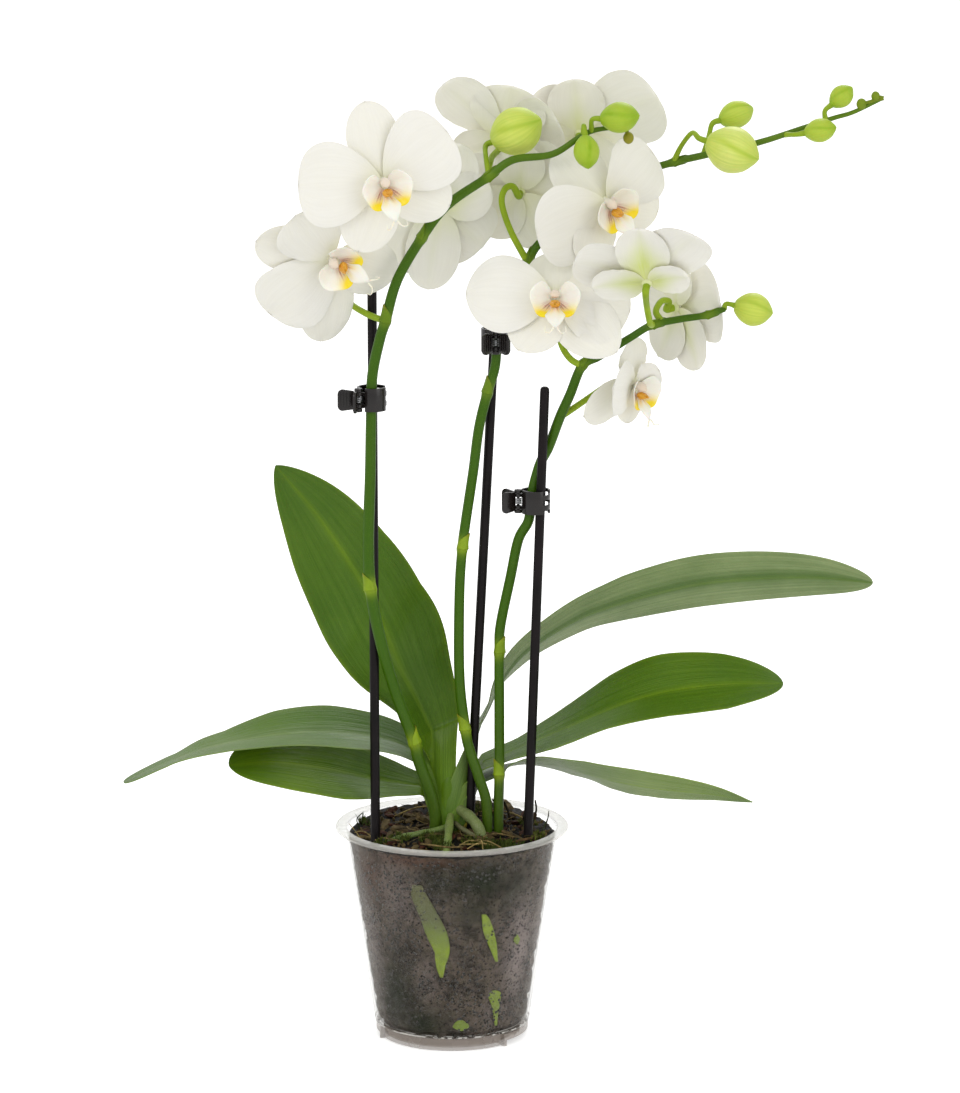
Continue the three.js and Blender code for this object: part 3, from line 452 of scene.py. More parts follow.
def makeMottle():
    tree, given, out = overlayGroup("mottle", "Other", {"Scale": 40.0, "Softness": 0.2, "Amount": 1.0})
    where = node(tree, "ShaderNodeTexCoord").outputs["Object"]
    noise = node(tree, "ShaderNodeTexNoise", {"Vector": where, "Scale": given["Scale"], "Detail": 6.0,
                                             "Roughness": 0.6})
    low, high = (reckon(tree, operation, 0.5, given["Softness"]) for operation in ("SUBTRACT", "ADD"))
    feed(tree, out["Mask"], overlaid(tree, given, out, ranged(tree, noise.outputs[0], low, high), "Other"))
    return tree


# lines that run along a blade, from its own UV: x across, y along
def makeVeins():
    tree, given, out = overlayGroup("veins", "Line", {"Count": 60.0, "Wander": 3.0, "Amount": 0.3})
    where = node(tree, "ShaderNodeTexCoord").outputs["UV"]
    axes = node(tree, "ShaderNodeSeparateXYZ", {0: where})
    across = reckon(tree, "MULTIPLY", axes.outputs["X"], given["Count"])
    along = reckon(tree, "MULTIPLY", axes.outputs["Y"], given["Wander"])
    spot = node(tree, "ShaderNodeCombineXYZ", {"X": across, "Y": along})
    noise = node(tree, "ShaderNodeTexNoise", {"Vector": spot.outputs[0], "Scale": 1.0, "Detail": 3.0})
    mask = ranged(tree, noise.outputs[0], 0.38, 0.66)
    overlaid(tree, given, out, mask, "Line")
    feed(tree, out["Mask"], mask)
    return tree


# round dots scattered through a surface
def makeSpeckle():
    tree, given, out = overlayGroup("speckle", "Dot", {"Scale": 600.0, "Size": 0.25, "Amount": 1.0})
    where = node(tree, "ShaderNodeTexCoord").outputs["Object"]
    cells = node(tree, "ShaderNodeTexVoronoi", {"Vector": where, "Scale": given["Scale"]})
    edge = ranged(tree, cells.outputs["Distance"], given["Size"], 0.0)
    feed(tree, out["Mask"], overlaid(tree, given, out, edge, "Dot", use_clamp=True))
    return tree


tinted, mottle, veins, speckle = makeTinted(), makeMottle(), makeVeins(), makeSpeckle()


def look(name, uniform):
    material = bpy.data.materials.new(name)
    material.use_nodes = True
    tree = material.node_tree
    shader = next(n for n in tree.nodes if n.type == "BSDF_PRINCIPLED")
    for key, value in uniform.items():
        shader.inputs[key].default_value = value
    return material, tree, shader


def use(tree, shared, values):
    made = tree.nodes.new("ShaderNodeGroup")
    made.node_tree = shared
    for key, value in values.items():
        feed(tree, made.inputs[key], value)
    return made


def tones(base, first, second, third):
    return {"Base": tone(*base), "First": tone(*first), "Second": tone(*second), "Third": tone(*third)}


# shared groups one over the other, each on the colour of the one before
def layered(tree, *layers):
    made = []
    for shared, values in layers:
        under = {"Color": made[-1].outputs[0]} if made else {}
        made.append(use(tree, shared, {**under, **values}))
    return made


def varied(tree, shader, title, mask, low, high):
    feed(tree, shader.inputs[title], ranged(tree, mask, 0.0, 1.0, low, high))


# the last layer's colour, a roughness between two values by a mask, and a relief: height, strength, depth
def finished(tree, shader, colour, rough, relief=None):
    feed(tree, shader.inputs["Base Color"], colour)
    varied(tree, shader, "Roughness", *rough)
    if relief:
        height, strength, depth = relief
        made = node(tree, "ShaderNodeBump", {"Height": height, "Strength": strength, "Distance": depth})
        feed(tree, shader.inputs["Normal"], made.outputs[0])


petalLook, tree, shader = look("petal", {
    "Subsurface Weight": 0.14, "Subsurface Scale": 0.0015, "Subsurface Radius": (1.0, 0.95, 0.7),
    "Specular IOR Level": 0.3})
base, lined, cloudy = layered(
    tree, (tinted, tones((241, 239, 231), (196, 212, 76), (240, 234, 192), (226, 172, 148))),
    (veins, {"Line": tone(226, 223, 211), "Count": 46.0, "Wander": 2.2, "Amount": 0.2}),
    (mottle, {"Other": tone(233, 230, 222), "Scale": 38.0, "Amount": 0.3}))
finished(tree, shader, cloudy.outputs[0], (lined.outputs[1], 0.5, 0.62), (lined.outputs[1], 0.2, 0.0002))

# the last channel of the tint is where the lip is lined and dotted
lipLook, tree, shader = look("lip", {
    "Subsurface Weight": 0.15, "Subsurface Scale": 0.0015, "Coat Weight": 0.15})
base = use(tree, tinted, tones((248, 245, 235), (250, 222, 10), (224, 128, 18), (206, 112, 140)))
marked = {"Amount": base.outputs[1]}
lined = use(tree, veins, {"Color": base.outputs[0], "Line": tone(152, 34, 48), "Count": 22.0, "Wander": 1.0,
                          **marked})
dotted = use(tree, speckle, {"Color": lined.outputs[0], "Dot": tone(140, 28, 36), "Scale": 1100.0, "Size": 0.3,
                             **marked})
finished(tree, shader, dotted.outputs[0], (lined.outputs[1], 0.32, 0.5), (lined.outputs[1], 0.3, 0.0003))

# first tint: yellower, second: greyer, third: the paler back of the leaf
leafLook, tree, shader = look("leaf", {
    "Subsurface Weight": 0.04, "Subsurface Scale": 0.002, "Coat Roughness": 0.2, "Specular IOR Level": 0.16})
base, lined, fine, patchy, pores = layered(
    tree, (tinted, tones((60, 100, 8), (150, 180, 14), (116, 134, 88), (158, 174, 122))),
    (veins, {"Line": tone(46, 84, 6), "Count": 34.0, "Wander": 1.6, "Amount": 0.34}),
    (veins, {"Line": tone(124, 152, 58), "Count": 150.0, "Wander": 5.0, "Amount": 0.14}),
    (mottle, {"Other": tone(50, 90, 8), "Scale": 30.0, "Amount": 0.35}),
    (speckle, {"Dot": tone(112, 148, 76), "Scale": 1500.0, "Size": 0.3, "Amount": 0.22}))
total = reckon(tree, "ADD", lined.outputs[1], fine.outputs[1])
finished(tree, shader, pores.outputs[0], (patchy.outputs[1], 0.36, 0.52), (total, 0.35, 0.0006))
varied(tree, shader, "Coat Weight", lined.outputs[1], 0.17, 0.06)

# first tint: young yellow-green growth, second: woody brown tips, third: purplish
stemLook, tree, shader = look("stem", {
    "Coat Roughness": 0.3, "Subsurface Weight": 0.03, "Subsurface Scale": 0.001, "Specular IOR Level": 0.16})
base, patchy, pores = layered(
    tree, (tinted, tones((58, 96, 0), (158, 184, 40), (150, 104, 44), (112, 74, 62))),
    (mottle, {"Other": tone(54, 88, 2), "Scale": 90.0, "Amount": 0.4}),
    (speckle, {"Dot": tone(132, 158, 50), "Scale": 1400.0, "Size": 0.34, "Amount": 0.25}))
finished(tree, shader, pores.outputs[0], (patchy.outputs[1], 0.38, 0.56), (pores.outputs[1], 0.2, 0.0003))
varied(tree, shader, "Coat Weight", patchy.outputs[1], 0.12, 0.04)

# first tint: greener, second: paler
budLook, tree, shader = look("bud", {
    "Subsurface Weight": 0.12, "Subsurface Scale": 0.002, "Specular IOR Level": 0.2})
base, lined, patchy = layered(
    tree, (tinted, tones((212, 222, 92), (140, 174, 20), (226, 232, 140), (196, 150, 60))),
    (veins, {"Line": tone(130, 176, 52), "Count": 60.0, "Wander": 1.4, "Amount": 0.25}),
    (mottle, {"Other": tone(182, 204, 70), "Scale": 160.0, "Amount": 0.35}))
finished(tree, shader, patchy.outputs[0], (patchy.outputs[1], 0.38, 0.52), (lined.outputs[1], 0.25, 0.0004))

# first tint: live green, second: brown and dry, third: bright yellow-green
rootLook, tree, shader = look("root", {"Subsurface Weight": 0.05, "Subsurface Scale": 0.001})
base, patchy, dotted = layered(
    tree, (tinted, tones((124, 136, 84), (76, 112, 34), (92, 78, 58), (140, 164, 26))),
    (mottle, {"Other": tone(96, 104, 62), "Scale": 220.0, "Amount": 0.6}),
    (speckle, {"Dot": tone(190, 192, 160), "Scale": 1300.0, "Size": 0.4, "Amount": 0.4}))
finished(tree, shader, dotted.outputs[0], (dotted.outputs[1], 0.6, 0.78), (patchy.outputs[1], 0.5, 0.0004))

# first tint: reddish, second: mossy, third: straw and pale wood
barkLook, tree, shader = look("bark", {"Specular IOR Level": 0.2})
base, patchy, dotted = layered(
    tree, (tinted, tones((44, 30, 21), (92, 48, 27), (58, 74, 28), (196, 170, 108))),
    (mottle, {"Other": tone(15, 11, 8), "Scale": 260.0, "Amount": 0.85}),
    (speckle, {"Dot": tone(98, 80, 62), "Scale": 1100.0, "Size": 0.3, "Amount": 0.3}))
finished(tree, shader, dotted.outputs[0], (patchy.outputs[1], 0.7, 0.95), (patchy.outputs[1], 0.9, 0.001))

# what is seen through the wall: damp bark, moss, pale patches of painted highlight, and dark patches of painted
# shade where gaps lie between the pieces; the last tint is the dark soil on top
packedLook, tree, shader = look("packedBark", {"Specular IOR Level": 0.25})
# the first layer's dark patches are painted shade of the gaps between the pieces of bark
patchy, grey = layered(
    tree, (mottle, {"Color": tone(84, 75, 62), "Other": tone(34, 31, 23), "Scale": 95.0, "Softness": 0.06,
                    "Amount": 0.8}),
    (mottle, {"Other": tone(104, 92, 86), "Scale": 300.0, "Softness": 0.06, "Amount": 0.45}))
# the third tone is a pale grey-pink painted highlight, laid by the wall patches of tint channel 2
patchTones = tones((0, 0, 0), (90, 54, 36), (22, 32, 8), (158, 146, 142))
base = use(tree, tinted, {**patchTones, "Base": grey.outputs[0]})
dotted = use(tree, speckle, {"Color": base.outputs[0], "Dot": tone(12, 11, 9), "Scale": 560.0, "Size": 0.4,
                             "Amount": 1.6})
topped = blended(tree, base.outputs[1], dotted.outputs[0], tone(14, 10, 7))
finished(tree, shader, topped, (patchy.outputs[1], 0.65, 0.9), (dotted.outputs[1], 0.6, 0.001))

# first tint: shaded, second: yellower, third: dry
mossLook, tree, shader = look("moss", {"Specular IOR Level": 0.2})
base, patchy = layered(
    tree, (tinted, tones((64, 82, 22), (34, 50, 12), (116, 122, 44), (166, 134, 74))),
    (mottle, {"Other": tone(34, 50, 14), "Scale": 300.0, "Amount": 0.6}))
finished(tree, shader, patchy.outputs[0], (patchy.outputs[1], 0.7, 0.9), (patchy.outputs[1], 0.5, 0.0005))

# clear plastic, clouded by handling and by drops inside; where the wall is seen at a slant it is painted whiter
# and more opaque, a painted reflection as well as the thicker look of the wall there; heights and radii in
# metres
wallZones = {
    "rim": (0.1075, 0.1098), "ledge": 0.0078, "beads": 0.0008, "soil": (0.1055, 0.1035),
    "foot": (0.0071, 0.0064), "aboveFoot": (0.0095, 0.013), "wallSlope": 0.1534, "innerFace": (0.0384, 0.0378),
}
potLook, tree, shader = look("potPlastic", {"IOR": 1.45, "Coat Weight": 0.5, "Coat Roughness": 0.1})
where = node(tree, "ShaderNodeTexCoord").outputs["Object"]
level = node(tree, "ShaderNodeSeparateXYZ", {0: where}).outputs
# painted reflection: the wall grows whiter and more opaque as it turns away from the view
facing = node(tree, "ShaderNodeLayerWeight", {"Blend": 0.3}).outputs["Facing"]
edgeReflectionShare = reckon(tree, "MULTIPLY", reckon(tree, "POWER", facing, 2.0), 0.5)
cloud, drops = layered(
    tree, (mottle, {"Color": tone(112, 106, 100), "Other": tone(146, 140, 134), "Scale": 55.0, "Amount": 1.0}),
    (speckle, {"Dot": tone(200, 198, 196), "Scale": 420.0, "Size": 0.36, "Amount": 0.8}))
# beads of water stand in a broken line along the ledge above the foot
offLedge = reckon(tree, "ABSOLUTE", reckon(tree, "SUBTRACT", level["Z"], wallZones["ledge"]))
dashes = use(tree, mottle, {"Scale": 190.0, "Softness": 0.03})
beads = reckon(tree, "MULTIPLY", ranged(tree, offLedge, wallZones["beads"], 0.0, 0.0, 0.75), dashes.outputs[1])
haze = reckon(tree, "MULTIPLY_ADD", cloud.outputs[1], 0.02, 0.014)
wet = reckon(tree, "MULTIPLY_ADD", drops.outputs[1], 0.04, haze)
# the haze, the drops, the beads and the painted reflection at the slanted edges add up here, and the milky
# colour follows them
thick = reckon(tree, "ADD", reckon(tree, "ADD", wet, edgeReflectionShare), beads)
rimShare = ranged(tree, level["Z"], *wallZones["rim"], 0.0, 0.34)
alpha = reckon(tree, "ADD", thick, rimShare, use_clamp=True)
milky = blended(tree, ranged(tree, alpha, 0.08, 0.4), drops.outputs[0], tone(238, 235, 228))
# only the inner face of the wall is dirty: its radius less its slope, below the soil and above the foot
flatPoint = node(tree, "ShaderNodeCombineXYZ", {"X": level["X"], "Y": level["Y"]}).outputs[0]
girth = node(tree, "ShaderNodeVectorMath", {0: flatPoint}, operation="LENGTH").outputs["Value"]
upright = reckon(tree, "MULTIPLY_ADD", level["Z"], -wallZones["wallSlope"], girth)
innerFace = reckon(tree, "MULTIPLY", ranged(tree, upright, *wallZones["innerFace"]),
                   ranged(tree, level["Z"], *wallZones["aboveFoot"]))
drift = use(tree, mottle, {"Scale": 42.0, "Softness": 0.07})
drifted = reckon(tree, "MULTIPLY", drift.outputs[1], innerFace)
dirt = reckon(tree, "MULTIPLY", drifted, ranged(tree, level["Z"], *wallZones["soil"], 0.0, 4.0))
specks = use(tree, speckle, {"Color": milky, "Dot": tone(20, 20, 14), "Scale": 430.0, "Size": 0.36,
                             "Amount": dirt})
solid = reckon(tree, "MAXIMUM", alpha, specks.outputs[1])
# the foot below the ledge is a milky grey-brown
foot = ranged(tree, level["Z"], *wallZones["foot"])
feed(tree, shader.inputs["Alpha"], reckon(tree, "MAXIMUM", solid, reckon(tree, "MULTIPLY", foot, 0.5)))
footTone = blended(tree, foot, specks.outputs[0], tone(176, 164, 154))
finished(tree, shader, footTone, (cloud.outputs[1], 0.16, 0.34), (drops.outputs[1], 0.15, 0.0003))

stickLook, tree, shader = look("stickPlastic", {
    "Coat Weight": 0.05, "Coat Roughness": 0.3, "Specular IOR Level": 0.14})
patchy, dusty = layered(
    tree, (mottle, {"Color": tone(12, 9, 10), "Other": tone(30, 22, 25), "Scale": 60.0, "Amount": 0.7}),
    (speckle, {"Dot": tone(66, 58, 60), "Scale": 1200.0, "Size": 0.25, "Amount": 0.3}))
finished(tree, shader, dusty.outputs[0], (patchy.outputs[1], 0.4, 0.55), (patchy.outputs[1], 0.2, 0.0003))

clipLook, tree, shader = look("clipPlastic", {
    "Coat Weight": 0.3, "Coat Roughness": 0.12, "Specular IOR Level": 0.35})
patchy = use(tree, mottle, {"Color": tone(14, 10, 9), "Other": tone(34, 27, 24), "Scale": 120.0, "Amount": 0.6})
finished(tree, shader, patchy.outputs[0], (patchy.outputs[1], 0.2, 0.36), (patchy.outputs[1], 0.12, 0.0003))

springLook, tree, shader = look("springSteel", {"Metallic": 1.0})
patchy = use(tree, mottle, {"Color": tone(188, 190, 194), "Other": tone(140, 138, 136), "Scale": 500.0,
                            "Amount": 0.6})
finished(tree, shader, patchy.outputs[0], (patchy.outputs[1], 0.22, 0.4))
print("materials made")


pot = {
    "sides": 160, "footRadius": 40, "footTop": 8.2, "shoulderRadius": 54.6, "shoulderHeight": 104, "wall": 1.2,
    # radius and height along the outline: foot, outer end of the wall, rim, inner end of the wall, floor
    "outline": [
        [(0.001, 0), (12, 0), (25, 0), (36.4, 0), (37.2, 0.4), (37.5, 1.2), (37.5, 6.2), (37.8, 6.8), (39.4, 7),
         (40, 7.6)], (54.6, 104),
        [(54.9, 104.6), (55.5, 106.6), (56.4, 108.2), (58, 108.9), (59.2, 109), (59.8, 109.3), (60, 109.9),
         (59.9, 110.5), (59.4, 110.9), (58.4, 111), (56.6, 110.8), (55.4, 110.9), (54.8, 110.8), (54.4, 110.3),
         (54.3, 109), (53.9, 106.5), (53.4, 104)], (38.8, 8.8),
        [(38.2, 8.2), (37.2, 8.2), (36.5, 7.8), (36.3, 6.8), (36.3, 2.4), (35.6, 1.6), (34, 1.5), (22, 1.5),
         (10, 1.5), (0.001, 1.5)]],
    "wallRows": 30, "channelInner": 26, "channelHeight": 5.5, "channelRoof": 1.2, "lugBottom": 3, "seam": 0.6,
    "channels": [(46, 108), (226, 288)], "slotLength": 8, "slotWidth": 2.5, "slotRadius": 32, "slots": 3,
    "weld": 0.00001, "smoothAngle": 32,
}


def innerWall(z):
    share = (z - pot["footTop"]) / (pot["shoulderHeight"] - pot["footTop"])
    return mix(pot["footRadius"] - pot["wall"], pot["shoulderRadius"] - pot["wall"], share)


def potProfile():
    foot, outerEnd, rim, innerEnd, floor = pot["outline"]
    line = list(foot)
    for end, after in ((outerEnd, rim), (innerEnd, floor)):
        start = line[-1]
        line += [tuple(mix(start[k], end[k], t) for k in (0, 1)) for t in np.linspace(0.02, 1, pot["wallRows"])]
        line += after
    return line


def cut(target, tools, operation):
    tool = formed("tool", tools)
    modifier = target.modifiers.new("cut", "BOOLEAN")
    modifier.operation, modifier.solver, modifier.object = operation, "EXACT", tool
    made = baked(target)
    bpy.data.objects.remove(tool)
    return made


def turnAbout(angle, at=(0, 0, 0)):
    return Matrix.Translation(at) @ Matrix.Rotation(math.radians(angle), 4, "Z")


def buildPot():
    shell = formed("clearPot", [revolveClosed(potProfile(), pot["sides"])], potLook)
    weld = bmesh.new()
    weld.from_mesh(shell.data)
    bmesh.ops.remove_doubles(weld, verts=weld.verts, dist=pot["weld"])
    weld.to_mesh(shell.data)
    weld.free()
    inner, foot, wall, height = pot["channelInner"], pot["footRadius"], pot["wall"], pot["channelHeight"]
    spread = math.degrees(wall / inner)
    half = (pot["slotLength"] / 2, pot["slotWidth"] / 2)
    corners = [(-half[0], -half[1]), (half[0], -half[1]), (half[0], half[1]), (-half[0], half[1])]
    roofs, hollows, under, slots = [], [], [], []
    for start, end in ((start - 90, end - 90) for start, end in pot["channels"]):
        roofs.append(ringSector(inner - wall, foot - pot["seam"], (start - spread, end + spread),
                                (0, height + pot["channelRoof"])))
        hollows.append(ringSector(inner, foot - wall, (start, end), (-1, height)))
        under.append(ringSector(inner, foot + 2, (start, end), (-1, pot["lugBottom"])))
        for k in range(pot["slots"]):
            turn = mix(start, end, (k + 0.5) / pot["slots"])
            slots.append(moved(prism(corners, (height - 1, height + 3)),
                               turnAbout(turn) @ Matrix.Translation((pot["slotRadius"], 0, 0))))
    shell = cut(shell, roofs, "UNION")
    for tools in (hollows, under, slots):
        shell = cut(shell, tools, "DIFFERENCE")
    return smoothed(shell, pot["smoothAngle"])


place(buildPot(), plantBody, "pot_plastic", "pot")
print("pot made")


medium = {
    "sides": 200, "clear": 0.5, "edgeHeight": 106.4, "domeHeight": 2.6, "wave": 0.9, "piled": 4.4,
    "lumps": 170.0, "lumpDepth": 0.0024, "wallRows": 90, "topRows": 26,
    "footLine": [(0.001, 1.8), (18, 1.8), (35.6, 1.8), (35.9, 8.6), (37.5, 9)],
    # patches on the wall: degrees from the viewer towards +X, height, their half sizes, tint channel and
    # amount; channel 2 is a painted highlight, pale streaks mostly towards the sides
    "patches": [
        (-6, 93, 12, 9, 1, 0.8), (18, 93, 22, 12, 1, 1.0), (44, 86, 16, 13, 1, 0.8), (14, 77, 14, 9, 1, 0.7),
        (-46, 28, 22, 20, 1, 1.0), (-24, 14, 20, 11, 1, 1.0), (-36, 84, 14, 16, 2, 0.3),
        (-58, 92, 16, 10, 0, 0.5), (-20, 104, 30, 4, 0, 0.6), (52, 52, 13, 26, 2, 0.8), (34, 20, 12, 8, 2, 0.3),
        (-18, 40, 10, 14, 2, 0.2), (-68, 56, 12, 26, 2, 0.6), (78, 60, 12, 30, 2, 0.6),
        (120, 70, 30, 20, 1, 0.7), (200, 40, 30, 20, 1, 0.6), (160, 88, 24, 12, 0, 0.6),
        (250, 80, 26, 14, 1, 0.7)],
}


def domeHeight(x, y):
    edge = pot["shoulderRadius"] - pot["wall"] - 0.3
    share = np.minimum(np.hypot(x, y) / edge, 1)
    wave = np.sin(x * 0.9) * np.cos(y * 1.3) + 0.5 * np.sin(x * 0.37 + y * 0.61)
    piled = medium["piled"] * np.clip(y / 50, 0, 1) * share ** 2
    domed = medium["domeHeight"] * (1 - share ** 2)
    return medium["edgeHeight"] + domed + medium["wave"] * wave * (1 - share ** 4) + piled


def wallTint(degrees, z):
    tint = list(untinted)
    for where, height, wide, tall, channel, amount in medium["patches"]:
        off = (degrees - where + 180) % 360 - 180
        tint[channel] = max(tint[channel], amount * math.exp(-(off / wide) ** 2 - ((z - height) / tall) ** 2))
    return tint


def buildMedium():
    sides, top = medium["sides"], medium["edgeHeight"]
    profile = list(medium["footLine"])
    profile += [(innerWall(z) - medium["clear"], z) for z in np.linspace(10, top, medium["wallRows"])]
    points, tints = [], []
    for r, z in profile:
        for a in roundTurn(sides):
            points.append((r * math.sin(a), -r * math.cos(a), z))
            tints.append(wallTint(math.degrees(a), z))
    edge = profile[-1][0]
    for share in np.linspace(0.97, 0.02, medium["topRows"]):
        for a in roundTurn(sides):
            x, y = edge * share * math.sin(a), -edge * share * math.cos(a)
            points.append((x, y, float(domeHeight(x, y))))
            tints.append([0, 0, 0, 1])
    count = len(profile) + medium["topRows"]
    faces = ringFaces(count, sides)
    faces += [list(range(sides)), list(range((count - 1) * sides, count * sides))]
    base = formed("packedBarkBase", [part(points, faces, tint=tints)])
    values = {"Scale": medium["lumps"], "Depth": medium["lumpDepth"], "Finish": packedLook}
    return grow(base, lumpTree, values, "packedBark")


place(buildMedium(), plantBody, "bark_mix", "growing_medium")


# a rough low-sided chip, longest along x
def chipShape(name, length, width, thick, seed):
    dice = random.Random(seed)
    rings = []
    for share in (-0.5, -0.42, -0.1, 0.22, 0.44, 0.5):
        full = 0.35 + 0.65 * math.sqrt(max(1 - (share * 1.9) ** 2, 0.05))
        ring = []
        for corner in range(6):
            a = corner * math.pi / 3 + dice.uniform(-0.2, 0.2)
            ring.append((share * length, full * width / 2 * math.cos(a) * dice.uniform(0.8, 1.15),
                         full * thick / 2 * math.sin(a) * dice.uniform(0.75, 1.2)))
        rings.append(ring)
    shade = dice.choice([(0.7, 0, 0, 0), (0.1, 0, 0.3, 0), (0.3, 0.25, 0, 0), (0.2, 0, 0, 0)])
    return formed(name, [loft(rings, shade)], smooth=False)


# a tuft of moss: short pointed blades leaning out from one spot
def tuftShape(name, blades, height, seed, shade):
    dice = random.Random(seed)
    parts = []
    for _ in range(blades):
        a, lean = dice.uniform(0, 2 * math.pi), dice.uniform(0.1, 0.9)
        tall, wide = height * dice.uniform(0.6, 1.2), dice.uniform(0.14, 0.3)
        out = np.array([math.cos(a), math.sin(a), 0])
        side = np.array([-math.sin(a), math.cos(a), 0]) * wide
        foot = out * dice.uniform(0, 0.5)
        middle = foot + out * lean * tall * 0.5 + up * tall * 0.6
        tip = foot + out * lean * tall + up * tall * 0.9
        rib = out * wide * 0.6
        points = [foot - side, foot + side, foot + rib, middle - side, middle + side, middle + rib, tip]
        faces = [[0, 2, 1], [0, 1, 4, 3], [1, 2, 5, 4], [2, 0, 3, 5], [3, 4, 6], [4, 5, 6], [5, 3, 6]]
        parts.append(part(points, faces, tint=(dice.uniform(0, 0.6), dice.uniform(0, shade), 0, 0)))
    return formed(name, parts, smooth=False)


topsoil = {
    # sets of chips: length, width, thickness, density, seed, smallest and largest size, tilt, radius of the bed
    "chips": [(12, 6, 3.4, 4200, 3, (0.6, 1.15), 0.45, 49.5), (8, 4.5, 2.6, 7000, 5, (0.6, 1.15), 0.45, 49.5),
              (5, 3.2, 1.8, 12000, 7, (0.6, 1.15), 0.45, 49.5), (15, 4, 2.4, 1800, 11, (0.6, 1.15), 0.45, 49.5),
              (2.2, 1.5, 1.0, 52000, 17, (0.5, 1.4), 1.2, 50.5)],
    # moss beds: centre, radius, density of tufts
    "moss": [(24, -37, 9, 330000), (33, -33, 7, 260000), (-6, -38, 6, 200000), (44, -18, 7, 260000),
             (8, 34, 12, 160000), (-44, 12, 6, 160000), (-26, -22, 6, 220000), (-9, -24, 8, 260000),
             (11, -30, 7, 260000), (40, 6, 6, 150000), (-36, -30, 5, 160000)],
    "tuft": {"blades": 7, "height": 3.1, "seed": 31, "shade": 0.7, "sizes": (0.6, 1.3), "tilt": 0.35,
             "lift": 0.6},
}


def bed(name, cx, cy, radius, lift=0.0):
    sides, rings = 20, 5
    points, faces = [(cx, cy, float(domeHeight(cx, cy)) + lift)], []
    reach = innerWall(103) - 3.5
    for i in range(1, rings + 1):
        for j in range(sides):
            a = j * 2 * math.pi / sides
            x, y = cx + radius * i / rings * math.cos(a), cy + radius * i / rings * math.sin(a)
            shrink = min(1, reach / max(math.hypot(x, y), 1e-6))
            x, y = x * shrink, y * shrink
            points.append((x, y, float(domeHeight(x, y)) + lift))
    faces += [[0, 1 + j, 1 + (j + 1) % sides] for j in range(sides)]
    for i in range(rings - 1):
        for j in range(sides):
            a, b = 1 + i * sides + j, 1 + i * sides + (j + 1) % sides
            faces.append([a, a + sides, b + sides, b])
    mesh = bpy.data.meshes.new(name)
    mesh.from_pydata((np.array(points) * mm).tolist(), [], faces)
    return objectFrom(name, mesh)


def scattered(name, surface, shape, density, seed, sizes, tilt, material):
    values = {"Shape": shape, "Density": float(density), "Seed": seed, "Smallest": sizes[0],
              "Largest": sizes[1], "Tilt": tilt, "Finish": material}
    made = grow(surface, scatterTree, values, name)
    bpy.data.objects.remove(shape)
    return made


def buildTopsoil():
    chips, tufts, form = [], [], topsoil["tuft"]
    for k, (length, width, thick, density, seed, sizes, tilt, radius) in enumerate(topsoil["chips"]):
        shape = chipShape(f"chip{k}", length, width, thick, seed)
        chips.append(scattered(f"chips{k}", bed(f"bed{k}", 0, 0, radius), shape, density, seed, sizes, tilt,
                               barkLook))
    place(joined("barkChips", chips), plantBody, "bark_mix")
    for k, (x, y, radius, density) in enumerate(topsoil["moss"]):
        shape = tuftShape(f"tuft{k}", form["blades"], form["height"], form["seed"] + k, form["shade"])
        tufts.append(scattered(f"tufts{k}", bed(f"mossBed{k}", x, y, radius, form["lift"]), shape, density,
                               3 + k, form["sizes"], form["tilt"], mossLook))
    place(joined("mossTufts", tufts), plantBody, "bark_mix")


buildTopsoil()

